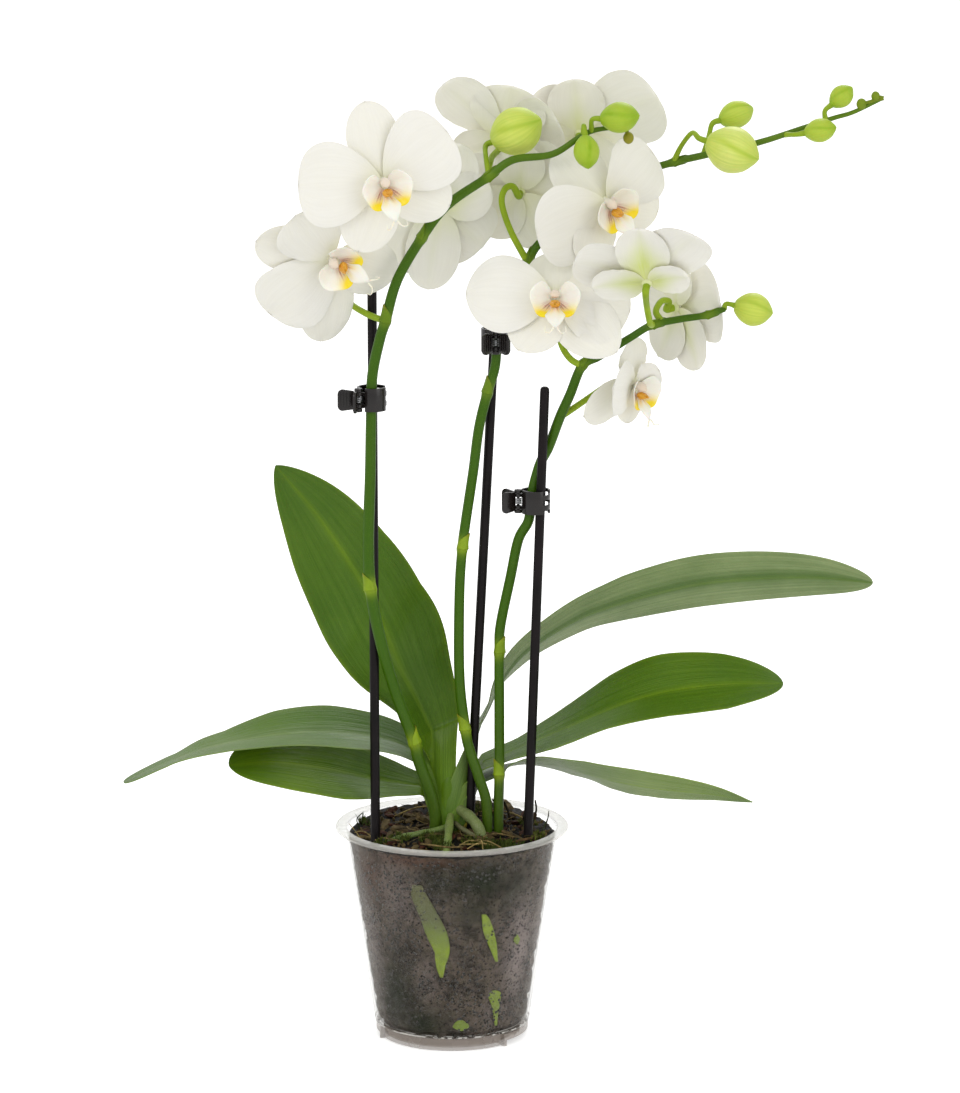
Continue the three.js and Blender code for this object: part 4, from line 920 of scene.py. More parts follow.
# loose straw, twigs and hair roots: points as x, y and height above the topsoil, radius and tint
strawLines = [
    ([(-16, -36, 1.6), (-10, -40, 2.6), (-2, -42, 2.2), (6, -40, 1.4)], 0.5, (0.3, 0, 0.6, 0)),
    ([(4, -36, 1.6), (12, -38, 2.8), (20, -36, 1.5)], 0.4, (0, 0, 1, 0)),
    ([(8, -44, 1.5), (14, -40, 3.8), (22, -37, 2.2)], 0.34, (0, 0, 1, 0)),
    ([(10, -34, 2), (15, -39, 4.4), (16, -45, 2.4)], 0.3, (0, 0, 1, 0)),
    ([(3, -42, 2), (9, -36, 4.2), (18, -33, 2)], 0.28, (0, 0, 1, 0)),
    ([(16, -33, 3), (20, -40, 4.2), (27, -42, 1.6)], 0.3, (0.1, 0, 0.9, 0)),
    ([(41, 6, 0), (43.5, 4, 9), (43, 3, 16)], 0.5, (0.2, 0.3, 0, 0)),
    ([(30, 14, 0), (29, 12, 7), (27, 12, 11)], 0.7, (0.1, 0.2, 0, 0)),
    ([(48, 2, 0), (49.5, 0, 7), (50, -3, 12)], 0.26, (0.2, 0.2, 0, 0)),
    ([(37, 10, 0), (38, 9, 6), (40, 8, 9)], 0.9, (0.1, 0.3, 0, 0)),
    ([(22, 22, 0), (23, 21, 6), (21, 20, 10)], 0.6, (0.3, 0.1, 0, 0)),
    ([(30, -30, 1.4), (38, -26, 2.8), (44, -18, 2)], 0.7, (0.8, 0, 0.2, 0)),
    ([(-44, -16, 1.2), (-36, -24, 3), (-26, -30, 2)], 0.4, (0, 0, 0.7, 0)),
    ([(-50, -8, 1.6), (-45, -17, 4.4), (-38, -28, 2)], 0.28, (0, 0, 0.9, 0)),
    ([(-45, -26, 1), (-50, -21, 7), (-53, -16, 9)], 0.16, (0, 0, 1, 0)),
    ([(-47, -4, 1), (-49, -2, 7), (-46, 0, 9.5)], 0.3, (0, 0.8, 0, 0)),
    ([(46, -8, 1), (49, -4, 7), (50, 1, 8.6)], 0.3, (0, 0.9, 0, 0)),
    ([(12, -28, 1.4), (22, -24, 3.4), (32, -20, 1.8)], 0.35, (0, 0, 0.6, 0)),
    ([(-30, 20, 1.4), (-18, 30, 3.2), (-4, 36, 1.6)], 0.45, (0, 0, 0.8, 0)),
    ([(14, 26, 1.6), (28, 22, 3.4), (40, 14, 1.6)], 0.45, (0, 0, 0.7, 0)),
]


def strandThrough(points, radius, tint, steps=8, ends=0.6):
    line, _ = evenly(curveThrough(points), np.linspace(0, 1, steps * (len(points) - 1) + 1))
    share = np.linspace(0, 1, len(line))
    radii = alongList(radius, share) if isinstance(radius, (list, tuple)) else np.full(len(line), float(radius))
    radii = radii * mix(ends, 1, np.minimum(1, np.minimum(share, 1 - share) * 12))
    return {"points": line, "radii": radii, "tint": tint}


straw = {"seed": 9, "strays": 46, "reach": (14, 47), "length": (3, 7), "drift": 1.4, "radius": (0.12, 0.26),
         "lift": (1.2, 3.2), "edge": 50}


def buildStraw():
    dice = random.Random(straw["seed"])
    strands = []
    for points, radius, tint in strawLines:
        lifted = [(x, y, float(domeHeight(x, y)) + lift) for x, y, lift in points]
        strands.append(strandThrough(lifted, radius, tint))
    for _ in range(straw["strays"]):
        a, r = dice.uniform(0, 2 * math.pi), dice.uniform(*straw["reach"])
        course, length = dice.uniform(0, 2 * math.pi), dice.uniform(*straw["length"])
        points = []
        for k in (-1, 0, 1):
            x = r * math.cos(a) + k * length * math.cos(course) + dice.uniform(-straw["drift"], straw["drift"])
            y = r * math.sin(a) + k * length * math.sin(course) + dice.uniform(-straw["drift"], straw["drift"])
            shrink = min(1, straw["edge"] / math.hypot(x, y))
            points.append((x * shrink, y * shrink, float(domeHeight(x, y)) + dice.uniform(*straw["lift"])))
        shade = (0, dice.uniform(0, 0.6), dice.uniform(0.2, 0.7), 0)
        strands.append(strandThrough(points, dice.uniform(*straw["radius"]), shade, steps=4))
    place(sweep("strawAndTwigs", strands, 6, barkLook), plantBody, "bark_mix")


buildStraw()
print("growing medium made")


roots = [
    {"points": [(0, -3, 119), (-1, -12, 116), (-2, -30, 109.5), (-3, -45, 106), (-4, -48.2, 99), (-9, -45, 84),
                (-9, -42.8, 68), (-5, -40, 42)],
     "radii": [2.2, 2.1, 2, 2, 2.1, 2.4, 2.4, 1.8], "tint": (0.45, 0, 0.3, 0)},
    {"points": [(0, -5, 114), (-4, -13, 112), (-16, -16.5, 110), (-27, -20, 108.5), (-35, -26, 105),
                (-37.5, -31.5, 98)], "radii": [1.8, 1.7, 1.7, 1.7, 1.6, 1.4], "tint": (0.8, 0, 0.2, 0)},
    {"points": [(2, -3, 121), (10.5, -15, 117.2), (15, -20, 110.6), (18, -23, 98)],
     "radii": [2.6, 2.9, 2.9, 2.6], "tint": (0.35, 0.2, 0.1, 0)},
    {"points": [(0, -5, 114), (6, -16, 112), (20, -30, 107.5), (31, -35, 104), (34.5, -36.5, 97)],
     "radii": [1.4, 1.3, 1.2, 1.2, 1], "tint": (0, 0.8, 0, 0)},
]

# roots pressed flat against the inside of the wall: x, height and half width, and a tint
wallRoots = [
    ([(-17.5, 91, 2.6), (-16.1, 84.4, 4.6), (-10.6, 72.7, 5.4), (-7.5, 64.1, 5.7), (-5, 55.4, 4.1),
      (-5.5, 47.6, 2.6), (-5.2, 41, 0.8)],
     [(0.9, 0.8, 0, 0), (0.7, 0.6, 0, 0), (0.2, 0, 0.9, 0), (0.2, 0, 1, 0)]),
    ([(16.4, 75, 1.2), (17.4, 72.1, 2.1), (18.9, 65.3, 2.9), (21, 57.3, 2.3), (23, 48, 0.8)],
     [(0.3, 0, 1.0, 0)]),
    ([(33.1, 60.6, 0.6), (33.3, 57.9, 2.4), (33.5, 55.2, 0.6)], [(0.4, 0, 0.7, 0)]),
    ([(21.6, 32, 1.2), (22, 29.8, 3.9), (22.5, 23.5, 2.6), (22.5, 16.8, 1.3), (22.7, 12.2, 0.8)],
     [(0.2, 0, 0.8, 0)]),
    ([(4.4, 17.4, 0.8), (4.6, 15.4, 3.4), (4.8, 13.2, 4.2), (5, 11.4, 1)], [(0.7, 0, 0.6, 0)]),
]

crown = {
    "at": (-1, 0), "sides": 40, "rows": 36,
    "profile": [(2, 98), (6.8, 100), (7.4, 112), (7.4, 126), (6.2, 134), (3.6, 139), (0.6, 141)],
    # each old sheath: the side it clasps in degrees, its foot, its height, how far round it reaches
    "sheaths": [(205, 100, 13, 100), (-28, 101, 14, 100)], "sheathRadius": 9.4, "sheathThick": 0.7,
}
pressed = {"inset": 0.66, "half": 0.48, "slimmest": 0.3, "sides": 14, "steps": 10}


# a flattened root lying in the plane of the wall
def wallRoot(path, tints):
    steps = pressed["steps"] * (len(path) - 1)
    shares = np.linspace(0, 1, steps + 1)
    rings = []
    for x, half, z in curveThrough([(x, half, z) for x, z, half in path])(shares):
        wall = innerWall(z)
        centre = np.array([x, -math.sqrt(max((wall - 0.75) ** 2 - x * x, 1)), 0])
        outward = unit(centre)
        side = np.array([-outward[1], outward[0], 0]) * max(half, pressed["slimmest"])
        ring = []
        for a in roundTurn(pressed["sides"]):
            point = centre + side * math.cos(a)
            ring.append((*(unit(point[:2]) * (wall - pressed["inset"] + pressed["half"] * math.sin(a))), z))
        rings.append(ring)
    return loft(rings, tintsAlong(tints, shares))


def sheath(side, foot, height, reach):
    u, v = np.meshgrid(np.linspace(0, 1, 14), np.linspace(-1, 1, 18), indexing="ij")
    angle = np.radians(side + reach * v * (1 - u ** 2.2))
    spread = crown["sheathRadius"] + 0.2 + 1.2 * u ** 2
    level = foot + height * (u * (1 - 0.25 * v ** 2))
    grid = np.stack([crown["at"][0] + spread * np.cos(angle), crown["at"][1] + spread * np.sin(angle), level],
                    axis=-1)
    shade = mix(np.array([0.25, 0.15, 0, 0]), np.array([0.3, 0.55, 0, 0]), u[..., None])
    return sheet(grid, np.full(u.shape, crown["sheathThick"] / 2), shade)


def buildCrown():
    (cx, cy), turn = crown["at"], roundTurn(crown["sides"])
    profile = evenProfile(crown["profile"], crown["rows"])
    rings = [[(cx + r * (1 + 0.05 * math.sin(3 * a + z * 0.2)) * math.cos(a),
               cy + r * (1 + 0.05 * math.sin(2 * a - z * 0.15)) * math.sin(a), z) for a in turn]
             for r, z in profile]
    shades = [(0.3 - 0.2 * (z - 98) / 52, 0, 0, 0) for _, z in profile]
    body = formed("crownBody", [loft(rings, shades)] + [sheath(*entry) for entry in crown["sheaths"]], stemLook)
    dice = random.Random(4)
    strands = [strandThrough(root["points"], root["radii"], root["tint"], steps=10, ends=0.5) for root in roots]
    for strand in strands:
        beat = np.arange(len(strand["radii"])) * dice.uniform(0.7, 1.1)
        strand["radii"] = strand["radii"] * (1 + 0.06 * np.sin(beat))
    rounded = sweep("rootSweep", strands, 20, rootLook)
    flat = formed("pressedRoots", [wallRoot(*entry) for entry in wallRoots], rootLook)
    place(joined("crownAndRoots", [body, rounded, flat]), plantBody, "root", "crown_and_roots")


buildCrown()
print("crown and roots made")


leafForm = {
    "midThick": 1.7, "edgeThick": 0.5, "rows": 72, "columns": 26, "groove": -0.55, "rib": 0.16,
    # the clasping foot: its rows, the share of the blade it takes up, how far round the crown it reaches
    "footRows": 16, "footShare": 0.07, "reach": 96,
}
# each leaf: its spine, how wide its base and its widest part are, how it swells and closes, its roll and fold
# in degrees along the spine, its foot's height, radius and side, shares of tint, the height of its waves, and
# where a band of deeper green lies
leaves = {
    "left_upright": {
        "spine": [(-5, 3, 147), (-15.7, 8.1, 169), (-26.7, 10.1, 191.2), (-35.5, 11.7, 213),
            (-45.2, 13.2, 233.5), (-57, 14.5, 253), (-70.5, 15.6, 272.4), (-90.2, 16, 296.1)],
        "base": 14, "width": 54, "swell": 0.8, "close": 0.75, "roll": [30, 38, 62, 90, 96, 100, 100],
        "fold": [33, 30, 18, 16, 16, 9, 3], "foot": (114, 7.7, 205), "yellow": 0.12, "grey": 0.05, "back": 0.75,
        "tip": 0.0, "wave": 0.5},
    "left_long": {
        "spine": [(-7.5, 2, 139), (-14.4, 3.6, 145.3), (-27, 3.2, 152.5), (-41.8, 0.1, 157.2),
            (-65, -8.5, 161.2), (-92.1, -16.6, 161.5), (-124.8, -22.2, 156.3), (-145.2, -23.9, 149.1),
            (-167.5, -25, 139.4)],
        "base": 9, "width": 43, "swell": 0.75, "close": 0.45, "roll": [26, 25, 20, 11, -2, -6, -2],
        "fold": [14, 13, 12, 10, 4, 2, 0], "foot": (109, 8.3, 212), "yellow": 0.05, "grey": 0.6, "back": 0.75,
        "tip": 0.2, "wave": 0.5, "band": (0.55, 0.34)},
    "left_low": {
        "spine": [(-8, 3, 129), (-24, 4, 131), (-41.9, 1.9, 134.6), (-66.4, -11.6, 143), (-92, -23.7, 149.1),
            (-113.3, -31, 149.5)],
        "base": 9, "width": 41, "swell": 1, "close": 0.55, "roll": [28, 29, 38, 40, 35, 30, 28],
        "fold": [10, 11, 14, 10, 7, 4, 3], "foot": (103, 8.9, 208), "yellow": 0.22, "grey": 0.0, "back": 0.75,
        "tip": 0.15, "wave": 0.5},
    "right_upper": {
        "spine": [(4.5, 3, 147), (16.5, 10, 166), (25.8, 13.1, 184.5), (40.3, 14, 200.8), (64.8, 14, 216.4),
            (85, 14, 224.2), (105.2, 14, 230.1), (126.8, 14, 234.8), (148.5, 14, 237.1), (170, 13.4, 238.2),
            (191.6, 12.2, 238.2), (216.2, 10, 236)],
        "base": 9, "width": 39, "swell": 1, "close": 0.55, "roll": [24, 26, 35, 46, 50, 53, 55],
        "fold": [4, 4, 3, 5, 4, 5, 2], "foot": (112, 8, -30), "yellow": 0.0, "grey": 0.35, "back": 0.9,
        "tip": 0.0, "wave": 0.4, "band": (0.06, 0.26)},
    "right_middle": {
        "spine": [(5, 4.5, 138), (14, 7.5, 140.8), (27.4, 8.3, 145.7), (44.7, 3.4, 154.4), (64.7, -3.7, 164.9),
            (84.7, -9.3, 175.1), (104.7, -13.1, 182.7), (126.1, -14, 186.6), (147.6, -14, 188.3),
            (169.4, -14, 188.3)],
        "base": 11, "width": 43, "swell": 1, "close": 0.55, "roll": [-6, -12, -24, -27, -31, -35, -28],
        "fold": [4, 4, 7, 13, 14, 9, 6], "foot": (107, 8.6, -34), "yellow": 0.18, "grey": 0.0, "back": 0.75,
        "tip": 0.0, "wave": 0.5},
    "right_low": {
        "spine": [(5, 4.5, 127), (14, 7, 133.5), (27.4, 10.5, 139.2), (40.3, 7.5, 141.8), (54.7, 0, 142.3),
            (69, -10, 140.7), (84.6, -17, 138.3), (101.9, -19.9, 135.6), (119.1, -21.7, 133.9),
            (136.2, -22.9, 132.2), (153.9, -23, 128.3)],
        "base": 9, "width": 40, "swell": 1, "close": 1, "roll": [2, 8, 24, 32, 32, 36, 38],
        "fold": [-4, -4, -3, 1, 4, 4, 0], "foot": (101, 9.2, -30), "yellow": 0.0, "grey": 0.3, "back": 0.6,
        "tip": 0.6, "wave": 0.35},
}


# places across a blade, closer towards its edges
def acrossBlade(columns):
    return np.sin(np.linspace(-1, 1, columns + 1) * math.pi / 2)[None, :]


def halfWidth(u, base, width, swell, close):
    peak = swell / (swell + close)
    shape = u ** swell * (1 - u) ** close / (peak ** swell * (1 - peak) ** close)
    return base / 2 * (1 - u) + width / 2 * shape


# below the blade the leaf turns into a sheath that clasps the crown
def leafFoot(leaf, v, rise):
    low, radius, facing = leaf["foot"]
    outward = 1 if math.cos(math.radians(facing)) > 0 else -1
    around = np.radians(facing - outward * leafForm["reach"] * v * (1 - 0.25 * rise))
    spread = radius + 1.2 * rise ** 2
    level = (low + (leaf["spine"][0][2] - low) * rise) * np.ones_like(around)
    return np.stack([crown["at"][0] + spread * np.cos(around), crown["at"][1] + spread * np.sin(around), level],
                    axis=-1)


def buildLeaf(name, leaf):
    along = 1 - (1 - np.linspace(0, 1, leafForm["rows"] + 1)) ** 1.4
    u, v = along[:, None], acrossBlade(leafForm["columns"])
    centre, ahead = evenly(curveThrough(leaf["spine"]), along)
    level = unit(np.cross(ahead, up))
    raised = np.cross(level, ahead)
    turn = np.radians(alongList(leaf["roll"], u))
    side = level * np.cos(turn) + raised * np.sin(turn)
    over = raised * np.cos(turn) - level * np.sin(turn)
    lift = np.radians(alongList(leaf["fold"], u))
    half = np.maximum(halfWidth(u, leaf["base"], leaf["width"], leaf["swell"], leaf["close"]), 0.3)
    bend = np.sqrt(v ** 2 + 0.012) - math.sqrt(0.012)
    seed = sum(map(ord, name)) % 7
    ripple = leaf["wave"] * v ** 2 * np.sin(u * 15 + seed + v * 1.3) * np.sin(u * math.pi)
    groove = leafForm["groove"] * bell(v, 0.07) * (1 - u)
    ribs = leafForm["rib"] * np.cos(v * 9 * math.pi) * (1 - np.abs(v)) * np.sin(u * math.pi)
    height = half * bend * np.sin(lift) + ripple + groove + ribs
    grid = (centre[:, None, :] + side[:, None, :] * (half * v * np.cos(lift))[..., None]
            + over[:, None, :] * height[..., None])
    top = int(np.searchsorted(along, leafForm["footShare"]))
    rise = np.linspace(0, 1, leafForm["footRows"], endpoint=False)[:, None]
    ease = (rise ** 2 * (3 - 2 * rise))[..., None] ** 1.9
    grid = np.concatenate([mix(leafFoot(leaf, v, rise), grid[top][None], ease), grid[top:]])
    u = np.concatenate([np.zeros_like(rise), u[top:]])
    young = np.concatenate([1 - rise ** 1.5, np.zeros((len(along) - top, 1))])
    thick = mix(leafForm["midThick"], leafForm["edgeThick"], np.maximum(np.abs(v) ** 0.8, u ** 2))
    shade = np.zeros((*thick.shape, 4))
    shade[..., 0] = (leaf["yellow"] + 0.16 * bell(u, 0.09) + 0.05 * young + 0.28 * bell(v, 0.03) * (1 - young)
                     + 0.3 * bell(1 - np.abs(v), 0.05) + leaf["tip"] * bell(u - 0.72, 0.28))
    bandPlace, bandWidth = leaf.get("band", (0, 0.07))
    pale = (1 - 0.8 * bell(v - bandPlace, bandWidth)) * (1 - young)
    shade[..., 1] = leaf["grey"] * (0.7 + 0.3 * np.sin(v * 5 + u * 3)) * pale * (1 - 0.6 * leaf["tip"] * u)
    under = shade.copy()
    under[..., 2] = leaf["back"] * pale * (1 - 0.8 * leaf["tip"] * u)
    piece = sheet(grid, thick / 2, np.clip(under, 0, 1), np.clip(shade, 0, 1))
    return formed(f"leafBlade_{name}", [piece], leafLook)


for name, leaf in leaves.items():
    place(buildLeaf(name, leaf), plantBody, "leaf", f"leaf_{name}")
print("leaves made")


# each flower: its centre, where it faces as yaw, pitch and roll, its stalk's way, its tepals
flowers = {
    "left_1": {
        "at": (-33.5, -50, 452), "face": (12, -6, 12),
        "via": [(-2, -26, 436), (-14, -31, 442)],
        "tepals": [(92, 41, 25, 4, -10), (170, 43, 43, 8, -18), (25, 40, 43, 10, -18), (240, 38, 28, 4, -8),
            (326, 37, 28, 4, -8)]},
    "left_2": {
        "at": (-60, -25.5, 410), "face": (16, -22, 70),
        "via": [(-33, -22, 377), (-43, -16, 380), (-53, -4, 385), (-61, -2, 397), (-63, -10, 409)],
        "tepals": [(95, 41, 25, 4, -8), (158, 43, 42, 6, -14), (58, 38, 34, 16, -10), (200, 50, 27, 3, -8),
            (271, 36, 30, 6, -8)]},
    "left_3": {
        "at": (-6, -2, 432), "face": (188, 0, 0), "via": [(-15, -25, 419), (-12, -16, 423)],
        "flush": (0.3, 0, 0, 0.5, 0),
        "tepals": [(109, 34, 26, 0, -10), (223, 31, 36, 12, -20), (306, 37, 38, 4, -18), (160, 28, 24, 0, -10),
            (279, 42, 27, 0, -8)]},
    "left_4": {
        "at": (26, 18, 463), "face": (165, 30, 0),
        "via": [(18, -26, 450), (19, -18, 454), (20.5, -4, 457.5)],
        "tepals": [(104, 31, 38, 20, -10), (163, 31, 36, 16, -20), (48, 42, 30, 10, -10), (212, 28, 24, 0, -8),
            (338, 28, 24, 0, -8)]},
    "middle_1": {
        "at": (35, 9.5, 438), "face": (170, 10, 0),
        "via": [(38.5, -2.8, 404), (30, -4, 420), (25.5, -4, 434), (27, -2, 441), (31, 1, 442)],
        "tepals": [(93, 26, 24, 0, -10), (149, 30, 34, 8, -18), (8, 33, 32, 10, -18), (250, 31, 28, 4, -8),
            (317, 30, 28, 4, -8)]},
    "middle_2": {
        "at": (77, -14, 437), "face": (34, -12, 34), "via": [(70, 5, 436), (74, 0, 437)],
        "tepals": [(101, 36, 27, -22, -6), (170, 42, 45, 6, -18), (10, 35, 42, 8, -18), (221, 34, 26, 12, -8),
            (311, 34, 27, 8, -8)]},
    "middle_3": {
        "at": (65, 30, 465), "face": (175, 20, 0),
        "via": [(70, 5, 436), (69, 12, 447), (65.5, 20, 458)], "flush": (0.35, 0, 0, 0, 0),
        "tepals": [(86, 31, 28, 6, -10), (151, 46, 44, 4, -14), (31, 31, 34, 10, -18), (242, 30, 26, 0, -8),
            (329, 30, 26, 0, -8)]},
    "right_1": {
        "at": (52, -24, 390), "face": (0, 16, 0), "close": 0.62,
        "via": [(66, -15, 353), (60, -17, 357), (55.5, -15, 364), (52.5, -12, 377)],
        "tepals": [(91, 26, 27, -20, -8), (178, 45, 38, 2, -14), (350, 39, 40, -4, -8), (235, 33, 28, 2, -8),
            (318, 42, 30, 0, -4)]},
    "right_2": {
        "at": (97.5, -48, 400.5), "face": (170, 40, 0),
        "via": [(101, -22, 375), (99.5, -32, 378), (97.5, -42, 388)], "flush": (0.95, 0, 0, 0.8, 0.8),
        "tepals": [(88, 37, 26, 10, -10), (128, 43, 32, 10, -18), (19, 38, 34, 10, -18), (165, 22, 20, 4, -8),
            (356, 28, 22, 0, -8)]},
    "right_3": {
        "at": (114, 4, 380), "face": (128, 4, -6),
        "via": [(106, -22, 376.5), (103, -17, 381), (106, -9, 385), (110, -3, 384)],
        "flush": (0, 0, 0, 0.55, 0.35),
        "tepals": [(100, 30, 26, 0, -10), (175, 32, 40, 10, -14), (17, 30, 36, 10, -14), (248, 34, 27, 4, -8),
            (302, 30, 26, 0, -8)]},
    "right_4": {
        "at": (91.5, -4, 341.5), "face": (50, -6, 0), "lipSize": 0.88,
        "via": [(55, -10.5, 326), (62, -7, 330), (72, -2, 336), (80, 0, 341)],
        "tepals": [(96, 25, 21, 8, -10), (172, 30, 28, 26, -16), (40, 15, 18, 40, -10), (204, 34, 20, -4, -8),
            (268, 20, 18, 6, -8)]},
}
# the tepals stand in the order back, left petal, right petal, left side, right side: angle, length, width,
# lift and curl in degrees and millimetres; flush is how green each one is
tepal = {
    "forms": ("sepal", "petal", "petal", "sepal", "sepal"),
    "base": 3, "start": 1.2, "rows": 30, "columns": 22, "thick": 0.56, "edge": 0.2, "cup": 2.6,
    "sepal": {"swell": 0.62, "close": 0.5, "cup": -0.03, "front": 0, "wave": 0.35, "keel": 0.45,
              "cream": 0.1},
    "petal": {"swell": 0.85, "close": 0.42, "cup": 0.02, "front": 1.7, "wave": 0.75, "keel": -0.35,
              "cream": 0.03},
}


def flowerMatrix(flower):
    yaw, pitch, roll = (math.radians(a) for a in flower["face"])
    level = np.array([math.sin(yaw), -math.cos(yaw), 0])
    right = np.array([math.cos(yaw), math.sin(yaw), 0])
    out = level * math.cos(pitch) + up * math.sin(pitch)
    rise = up * math.cos(pitch) - level * math.sin(pitch)
    matrix = np.eye(4)
    matrix[:3, 0] = right * math.cos(roll) + rise * math.sin(roll)
    matrix[:3, 1] = rise * math.cos(roll) - right * math.sin(roll)
    matrix[:3, 2] = out
    matrix[:3, 3] = flower["at"]
    return matrix


def tepalPart(form, values, seed, flush):
    angle, length, width, lift, curl = values
    line = np.linspace(0, 1, tepal["rows"] + 1)
    line = mix(0.5 - 0.5 * np.cos(line * math.pi), line, 0.25)
    u, v = line[:, None], acrossBlade(tepal["columns"])
    radial = heading(angle)
    side = np.array([-radial[1], radial[0], 0])
    begin, bend = math.radians(lift), math.radians(curl)
    reach = (length - tepal["start"]) / bend
    slope = begin + bend * u
    centre = (radial * (tepal["start"] + reach * (np.sin(slope) - math.sin(begin)))
              + up * (form["front"] + reach * (math.cos(begin) - np.cos(slope))))
    normal = up * np.cos(slope) - radial * np.sin(slope)
    half = np.maximum(halfWidth(u, tepal["base"], width, form["swell"], form["close"]), 0.35)
    dice = random.Random(seed)
    wave = form["wave"] * v ** 2 * np.sin(u * dice.uniform(7, 10) + v * 2.2 + dice.uniform(0, 6))
    frill = 0.22 * np.abs(v) ** 5 * np.sin(u * dice.uniform(24, 34) + dice.uniform(0, 6))
    rolled = -0.5 * np.abs(v) ** 6 * bell(u - 0.6, 0.35)
    keel = form["keel"] * bell(v, 0.09) * (1 - u) ** 0.6
    dipped = -0.9 * bell(1 - u, 0.16) * bell(v, 0.6)
    ruffle = (wave + frill) * np.sin(u * math.pi) ** 0.5
    offset = form["cup"] * half * v ** 2 + ruffle + rolled + keel + dipped
    grid = centre[:, None] + side * (half * v)[..., None] + normal[:, None] * offset[..., None]
    thick = mix(tepal["thick"], tepal["edge"], v ** 2) * np.ones_like(u)
    shade = np.zeros((*thick.shape, 4))
    green = flush * bell(u, 0.5 + 0.2 * flush) * bell(v / np.maximum(1.05 - u, 0.2), 0.6 + 0.5 * flush ** 3)
    shade[..., 0] = np.clip(green + 0.22 * bell(u, 0.13), 0, 1)
    shade[..., 1] = 0.28 * bell(u, 0.25) + form["cream"]
    back = shade.copy()
    back[..., 0] = np.clip(green + 0.3 * bell(u, 0.3) + 0.22 * bell(v, 0.16) * (1 - u) ** 0.8, 0, 1)
    return sheet(grid, thick / 2, shade, back)


# the column between the petals: its line in the flower's own frame, radii and tints
column = {
    "line": [(0, 0, -tepal["cup"]), (0, 0, 0), (0, 0.2, 3), (0, 0.3, 5.5), (0, 0, 7.6), (0, -0.5, 8.8),
             (0, -0.9, 9.4)],
    "radii": [1.7, 2.6, 1.9, 1.9, 2.35, 2.2, 0.7],
    "tints": [(0.8, 0, 0, 0), (0.6, 0.2, 0, 0), (0.1, 0.2, 0.05, 0), (0, 0.1, 0.1, 0), (0, 0.1, 0.2, 0),
              (0, 0.3, 0.35, 0), (0, 0.5, 0.4, 0)],
    "rows": 26, "sides": 20,
}


def columnPart():
    shares = np.linspace(0, 1, column["rows"])
    centre = evenly(curveThrough(column["line"]), shares)[0]
    a = roundTurn(column["sides"])
    rings = []
    for (x, y, z), wide in zip(centre, alongList(column["radii"], shares)):
        hollow = 1 - 0.28 * bell(z - 6.2, 1.5) * bell(a - 1.5 * math.pi, 0.6)
        rings.append(np.stack([x + wide * 1.06 * np.cos(a), y + wide * hollow * np.sin(a), np.full(len(a), z)],
                              axis=-1))
    return loft(rings, tintsAlong(column["tints"], shares))


def buildFlower(name, flower):
    seed = sum(map(ord, name)) * 7
    parts = [columnPart()]
    flush = flower.get("flush", (0,) * len(tepal["forms"]))
    for k, (title, values, green) in enumerate(zip(tepal["forms"], flower["tepals"], flush)):
        form = {**tepal[title], "close": max(tepal[title]["close"], flower.get("close", 0))}
        parts.append(tepalPart(form, values, seed + k, green))
    matrix = flowerMatrix(flower)
    return formed(f"bloom_{name}", [moved(piece, matrix) for piece in parts], petalLook)


for name, flower in flowers.items():
    place(buildFlower(name, flower), plantBody, "petal", f"flower_{name}")
print("flowers made")


# the lip in the flower's own frame: x to its right, y up, z out of the face
lip = {
    "rows": 20, "columns": 26, "thick": 0.42,
    # a side lobe stands as a curved wall beside the column: degrees round it, then from its foot to its rim
    "lobe": {"centre": -1.6, "from": -76, "to": 62, "radius": [2.1, 5, 8.4, 11, 12.6],
             "level": [3.6, 5.2, 8, 10.6, 11.6]},
    "middle": {"spine": [(0, -4, 5), (0, -9, 9.5), (0, -13.4, 13.4), (0, -18, 15.2)],
               "halves": [1.8, 2.6, 5.2, 3.6, 1.1], "cup": -0.22},
    "callus": {"at": (0, -4.8, 7.6), "half": (2.7, 2.1, 2.9)},
    "tendril": [(0.8, -17.5, 15.4), (3, -20.5, 16.5), (5.2, -20, 18.5), (5, -17.5, 19)],
    "tendrilRadii": [0.55, 0.42, 0.3, 0.16],
}


def lobePart(mirror):
    form = lip["lobe"]
    t = np.linspace(0, 1, lip["rows"] + 1)[:, None]
    v = np.linspace(-1, 1, lip["columns"] + 1)[None, :]
    angle = np.radians(mix(form["from"], form["to"], (v + 1) / 2)) + 0 * t
    tall = (1 - np.abs(v) ** 3.2) ** 0.55 * (1 - 0.12 * v)
    reach = t * (0.3 + 0.7 * tall)
    radius = alongList(form["radius"], reach) * (1 + 0.03 * np.sin(v * 7))
    level = alongList(form["level"], reach) + 0.35 * np.sin(v * 6 + 1) * t ** 2
    grid = np.stack([mirror * radius * np.cos(angle), form["centre"] + radius * np.sin(angle), level], axis=-1)
    shade = np.zeros((*angle.shape, 4))
    shade[..., 0] = 1.4 * bell(t - 0.86, 0.42) * bell(v + 0.7, 0.36)
    shade[..., 1] = 0.25 * bell(t - 0.1, 0.14) * bell(v + 0.6, 0.4)
    shade[..., 3] = 1.2 * bell(t - 0.3, 0.2) * bell(v + 0.62, 0.26)
    return sheet(grid, np.full(angle.shape, lip["thick"] / 2), np.clip(shade, 0, 1))


